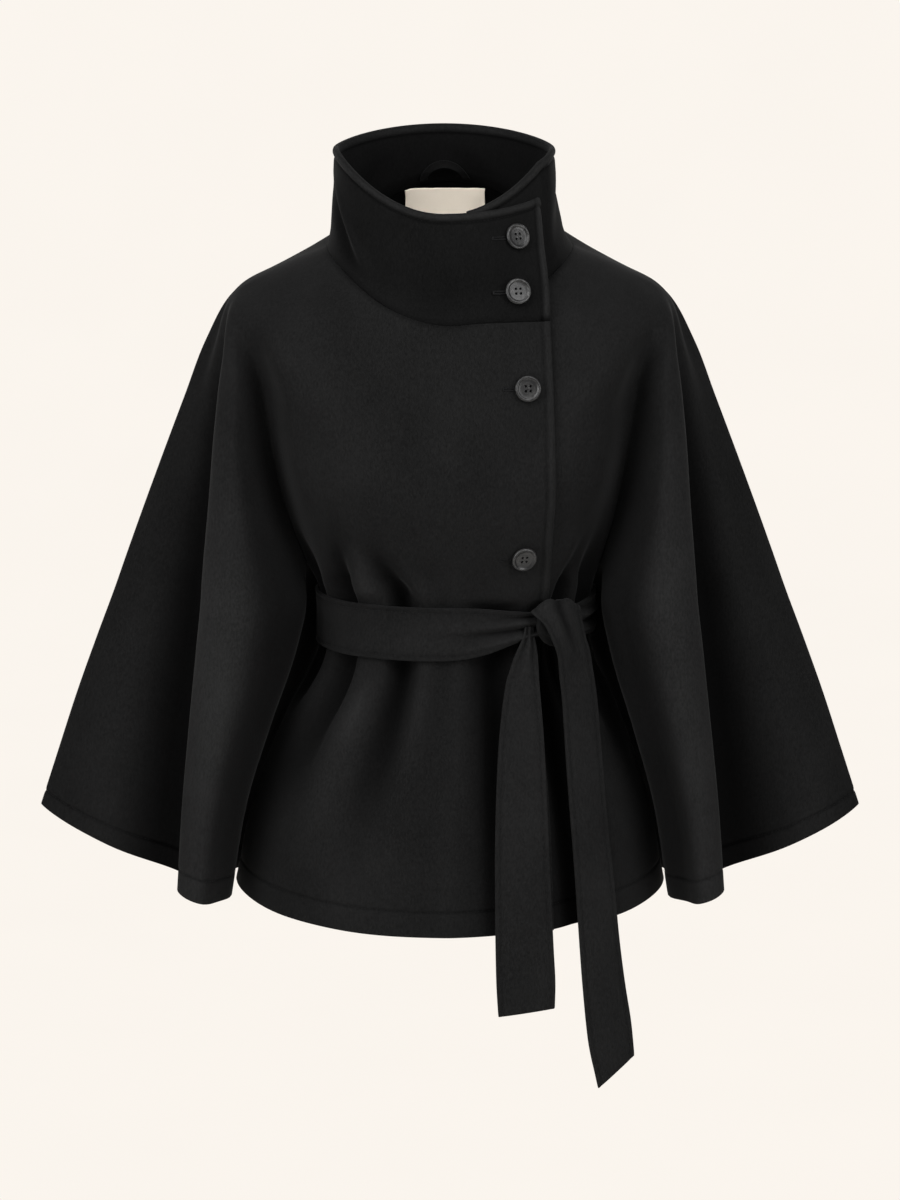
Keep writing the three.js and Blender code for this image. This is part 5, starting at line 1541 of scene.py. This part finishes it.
@dataclass
class Buttons:
    """The four buttons, their thread, and the holes that they go through."""

    form: CoatForm
    collar: Collar
    finishes: Finishes
    radius: float = 12.7
    thickness: float = 4.2
    hole_radius: float = 1.25
    hole_spacing: float = 4.6
    slit_length: float = 14.0

    @staticmethod
    def place_of(node: str) -> tuple[Array, Array, Array, Array]:
        """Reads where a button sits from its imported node.

        Args:
            node: The node's name.

        Returns:
            The middle of its back in millimetres, and the ways right, up and out.
        """
        spots = np.array([tuple(v.co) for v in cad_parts[node].data.vertices]) / MM
        centre = (spots.min(axis=0) + spots.max(axis=0)) / 2
        _, _, axes = np.linalg.svd(np.unique(spots.round(3), axis=0) - spots.mean(axis=0), full_matrices=False)
        out = axes[2] * (-1 if axes[2][1] > 0 else 1)
        right = unit(np.cross(np.array([0.0, 0.0, 1.0]), out))
        reach = (spots - centre) @ out
        return centre + out * reach.min(), right, np.cross(out, right), out

    def matrix(self, node: str) -> Matrix:
        """The place of a button that lies on Z = 0 in millimetres and faces up, in metres."""
        back, right, above, out = self.place_of(node)
        place = Matrix.Identity(4)
        for i, axis in enumerate((right, above, out)):
            place.col[i] = (*(axis * MM), 0)
        place.col[3] = (*(back * MM), 1)
        return place

    def disc(self) -> Mesh:
        """A turned disc with a raised rim, a dished face and rounded shoulders, in millimetres."""
        mesh = bmesh.new()
        r, h = self.radius, self.thickness
        profile = [(0, 0.25), (r * 0.55, 0.1), (r - 2.0, 0.1), (r - 0.8, 0.55), (r - 0.15, 1.3), (r, 2.1),
                   (r - 0.12, 3.0), (r - 0.6, 3.8), (r - 1.4, h), (r - 2.2, h - 0.05), (r - 2.9, h - 0.5),
                   (r - 3.5, h - 1.15), (r - 4.3, h - 1.42), (r * 0.5, h - 1.3), (r * 0.36, h - 1.45), (0, h - 1.5)]
        verts = [mesh.verts.new((x, 0, z)) for x, z in profile]
        edges = [mesh.edges.new(pair) for pair in zip(verts, verts[1:])]
        bmesh.ops.spin(mesh, geom=verts + edges, cent=(0, 0, 0), axis=(0, 0, 1), angle=math.tau, steps=56,
                       use_merge=True)
        bmesh.ops.remove_doubles(mesh, verts=mesh.verts[:], dist=0.01)
        bmesh.ops.recalc_face_normals(mesh, faces=mesh.faces[:])
        return mesh

    def fill_holes(self, mesh: Mesh, segments: int, radii: tuple[float, float], depth: float,
                   z: float) -> None:
        """Adds a rod in each of the four holes: its sides, its radii below and above, its length and middle."""
        half = self.hole_spacing / 2
        for x in (-half, half):
            for y in (-half, half):
                bmesh.ops.create_cone(mesh, cap_ends=True, segments=segments, radius1=radii[0], radius2=radii[1],
                                      depth=depth, matrix=Matrix.Translation((x, y, z)))

    def holed(self) -> bpy.types.Mesh:
        """The disc with its four holes cut."""
        disc = bpy.data.meshes.new("disc")
        solid = self.disc()
        solid.to_mesh(disc)
        solid.free()
        cutter = bpy.data.meshes.new("cutter")
        drills = bmesh.new()
        self.fill_holes(drills, 20, (self.hole_radius, self.hole_radius), self.thickness * 3, self.thickness / 2)
        drills.to_mesh(cutter)
        drills.free()
        body, tool = bpy.data.objects.new("disc", disc), bpy.data.objects.new("cutter", cutter)
        for item in (body, tool):
            bpy.context.scene.collection.objects.link(item)
        cut = body.modifiers.new("holes", "BOOLEAN")
        cut.object, cut.operation, cut.solver = tool, "DIFFERENCE", "EXACT"
        soft = body.modifiers.new("soft", "BEVEL")
        soft.width, soft.segments, soft.limit_method, soft.angle_limit = 0.22, 2, "ANGLE", math.radians(40)
        made = bpy.data.meshes.new_from_object(body.evaluated_get(bpy.context.evaluated_depsgraph_get()))
        for item in (body, tool):
            bpy.data.objects.remove(item)
        return made

    def thread(self) -> Mesh:
        """The thread down in a button's holes, and the shank under it, in millimetres."""
        mesh = bmesh.new()
        self.fill_holes(mesh, 12, (self.hole_radius * 0.9, self.hole_radius * 0.7), 2.6, 0.2)
        return mesh

    def front_surface(self, x: float, z: float) -> Array:
        """The lap's outer point at a given X and Z."""
        return self.form.torso(np.array([x]), np.array([z]), 1, LAP_RISE)[0][0]

    @staticmethod
    def facing(surface: Callable[[float, float], Array], x: float, z: float) -> tuple[Array, Array, Array]:
        """The cloth's point at an X and a Z, and the ways up along it and out of it."""
        here, lifted, beside = surface(x, z), surface(x, z + 2.0), surface(x + 1.0, z)
        out = unit(np.cross(lifted - here, beside - here))
        return here, unit(lifted - here), out * (-1 if out[1] > 0 else 1)

    def buttonhole(self, mesh: Mesh, surface: Callable[[float, float], Array], x: float,
                   z: float) -> None:
        """Works the stretch of a buttonhole that shows beside its button.

        Args:
            mesh: The mesh that takes the thread, in metres.
            surface: Gives the cloth's outer point at an X and a Z.
            x: The end of the hole, in millimetres.
            z: Its height.
        """
        sewing = Stitching(thick=0.75, proud=0.22)
        run = bmesh.new()
        steps = int(self.slit_length / 0.62)
        for k in range(steps + 1):
            here, above, out = self.facing(surface, x + self.slit_length * k / steps, z)
            for way in (-1, 1):
                sewing.stitch(run, here + above * way * 1.15 + out * 0.25, above * 1.9, out)
        _, above, out = self.facing(surface, x, z)
        for k in range(3):
            sewing.stitch(run, surface(x - 0.5 + 0.5 * k, z) + out * 0.35, above * 4.2, out)
        sewing.add_run(mesh, run)

    def build(self) -> list[Piece]:
        """Makes each button with its thread, and the worked buttonholes."""
        disc = self.holed()
        pieces = []
        for number in (1, 2, 3, 4):
            node = f"button_{number}"
            place = self.matrix(node)
            mesh = bmesh.new()
            mesh.from_mesh(disc)
            bmesh.ops.transform(mesh, matrix=place, verts=mesh.verts[:])
            piece = new_piece(f"{node}_disc", mesh, self.finishes.button, [node])
            thread = self.thread()
            bmesh.ops.transform(thread, matrix=place, verts=thread.verts[:])
            new_piece(f"{node}_thread", thread, self.finishes.thread)
            pieces.append(piece)
        holes = bmesh.new()
        for number in (1, 2, 3, 4):
            surface = self.collar.surface_at if number < 3 else self.front_surface
            centre = self.place_of(f"button_{number}")[0]
            self.buttonhole(holes, surface, float(centre[0]) - self.radius - 10.5, float(centre[2]) - 0.5)
        new_piece("buttonhole_stitches", holes, self.finishes.thread)
        return pieces


# The hanger loop and the label


@dataclass
class HangerLoop:
    """The narrow strap inside the back of the collar."""

    collar: Collar
    finishes: Finishes
    width: float = 8.0
    span: float = 47.0
    rise: float = 15.0
    thickness: float = 1.6
    stand_off: float = 4.0
    tall: float = COLLAR_TOP["back_z"] - NECK["back_z"]

    def build(self) -> Piece:
        """Makes the strap, which stands off the collar at its middle."""
        rows = np.array([0, 0.06, 0.16, 0.3, 0.5, 0.7, 0.84, 0.94, 1.0])
        turn = np.linspace(0, math.pi, 57)
        points = []
        for share in rows:
            x = COLLAR_SHIFT_X - (self.span / 2 + self.width * (0.5 - share)) * np.cos(turn)
            above = 2.5 + (self.rise + self.width * (0.5 - share)) * np.sin(turn)
            angle = 180 - np.degrees(np.arcsin((x + 2) / NECK["half"]))
            point = self.collar.round_neck(angle, above / self.tall)
            out = unit(point * np.array([1, 1, 0]))
            off = DOUBLE_CLOTH * 1.5 + 0.7 + self.stand_off * np.sin(turn) ** 2 - 0.5 * math.sin(math.pi * share)
            points.append(point - out * off[:, None])
        points = np.array(points)
        normals = unit(points * np.array([1, 1, 0]))
        wall = Wall.of(points, normals, self.thickness)
        piece = cloth_piece("hanger_loop", cloth_mesh([wall]), self.finishes.wool, "strap")
        CUTS["hanger_loop"].declare(piece)
        return piece


@dataclass
class Label:
    """The woven label under the back neck seam, left blank."""

    form: CoatForm
    finishes: Finishes
    width: float = 82.0
    height: float = 36.0
    thickness: float = 0.8
    below: float = 6.5
    shift_x: float = -5.0
    inside_gap: float = 1.4

    def build(self) -> Piece:
        """Makes the label, folded under at its ends, with a level top edge."""
        u = np.concatenate([[0, 0.01, 0.03, 0.06], np.linspace(0.1, 0.9, 25), [0.94, 0.97, 0.99, 1]])
        v = np.concatenate([[0, 0.03, 0.08], np.linspace(0.15, 0.9, 11), [0.96, 1]])
        x = np.broadcast_to(self.shift_x + self.width * (u[None] - 0.5), (len(v), len(u)))
        z = np.broadcast_to(NECK["back_z"] - self.below - self.height * v[:, None], (len(v), len(u)))
        points, normals = self.form.torso(x, z, -1, -CLOTH - self.inside_gap)
        folds = bells(u[None], ((1, 0.015, 0.03), (1, 0.985, 0.03)))
        lift = 0.5 * np.sin(u[None] * 9 + 1) * smooth(0.2, 1, v[:, None]) + 0.4 * folds
        wall = Wall.of(points - normals * np.maximum(lift, -0.2)[..., None], normals, self.thickness)
        piece = cloth_piece("label", cloth_mesh([wall]), self.finishes.label, "weave")
        CUTS["label"].declare(piece)
        return piece


# The set


@dataclass
class Studio:
    """The floor, the lights and the camera."""

    floor_z: float = -1.45
    floor_run: float = 24.0
    floor_ahead: float = 12.0
    floor_behind: float = 4.5
    bend: float = 2.0
    camera_back: float = 3.912
    camera_up: float = 0.476
    camera_down: float = 12.0
    focal: float = 120.0
    light_reach: float = 2.7
    light_size: float = 1.2
    coat_middle_z: float = -0.4

    def build(self) -> None:
        """Makes everything round the coat."""
        self.floor()
        self.lights()
        self.camera()

    def floor(self) -> None:
        """Makes a floor that curves up into a backdrop, far behind."""
        mesh = bmesh.new()
        bmesh.ops.create_grid(mesh, x_segments=2, y_segments=60, size=1.0)
        for vert in mesh.verts:
            gone = (vert.co.y + 1) / 2 * self.floor_run - self.floor_ahead
            turn = min(max(0.0, gone - self.floor_behind) / self.bend, math.pi / 2)
            rise = max(0.0, gone - self.floor_behind - self.bend * math.pi / 2)
            vert.co = (vert.co.x * self.floor_run / 2, min(gone, self.floor_behind) + self.bend * math.sin(turn),
                       self.floor_z + self.bend * (1 - math.cos(turn)) + rise)
        data = bpy.data.meshes.new("floor")
        mesh.to_mesh(data)
        mesh.free()
        data.shade_smooth()
        data.materials.append(FloorFinish().build())
        floor = bpy.data.objects.new("floor", data)
        bpy.context.scene.collection.objects.link(floor)

    def area_light(self, name: str, turn: float, rise: float, power: float) -> None:
        """Makes a soft square light that faces the middle of the coat.

        Args:
            name: Its name.
            turn: How far round the coat it stands, in degrees from straight ahead.
            rise: How far up it stands, in degrees.
            power: Its power in watts.
        """
        turn, rise = math.radians(turn), math.radians(rise)
        level = self.light_reach * math.cos(rise)
        at = Vector((level * math.sin(turn), -level * math.cos(turn),
                     self.coat_middle_z + self.light_reach * math.sin(rise)))
        data = bpy.data.lights.new(name, "AREA")
        data.shape, data.size, data.energy = "SQUARE", self.light_size, power
        light = bpy.data.objects.new(name, data)
        light.location = at
        light.rotation_euler = (Vector((0, 0, self.coat_middle_z)) - at).to_track_quat("-Z", "Y").to_euler()
        bpy.context.scene.collection.objects.link(light)

    def lights(self) -> None:
        """Makes a pale room, with soft lights on both sides in front, one above, and two weak ones behind."""
        world = bpy.data.worlds.new("room")
        world.use_nodes = True
        back = world.node_tree.nodes["Background"]
        back.inputs["Color"].default_value = (1.0, 1.0, 1.0, 1)
        back.inputs["Strength"].default_value = 0.3
        bpy.context.scene.world = world
        bpy.context.scene.view_settings.view_transform = "Standard"
        for name, turn, rise, power in (("left_low", -50, 12, 64), ("right_low", 50, 12, 54),
                                        ("left_high", -35, 45, 54), ("right_high", 35, 45, 46), ("above", 0, 80, 20),
                                        ("behind_left", -140, 25, 22), ("behind_right", 140, 25, 22)):
            self.area_light(name, turn, rise, power)

    def camera(self) -> None:
        """Makes the camera at the photograph's angle."""
        data = bpy.data.cameras.new("camera")
        data.lens, data.sensor_width = self.focal, 36.0
        camera = bpy.data.objects.new("camera", data)
        camera.location = (0, -self.camera_back, self.camera_up)
        camera.rotation_euler = (math.radians(90 - self.camera_down), 0, 0)
        bpy.context.scene.collection.objects.link(camera)
        bpy.context.scene.camera = camera


def main() -> None:
    """Builds the coat's pieces and the set, and reports each piece."""
    logging.basicConfig(level=logging.INFO, format="%(name)s: %(message)s")
    form, finishes = CoatForm(), Finishes()
    collar = Collar(form, finishes)
    made = [
        *Panels(form, finishes).build(),
        collar.build(),
        *Belt(form, finishes).build(),
        *Buttons(form, collar, finishes).build(),
        HangerLoop(collar, finishes).build(),
        Label(form, finishes).build(),
    ]
    Studio().build()
    for piece in made:
        LOG.info("%s: %d faces before finishing", piece.name, len(piece.data.polygons))


if __name__ == "__main__":
    main()
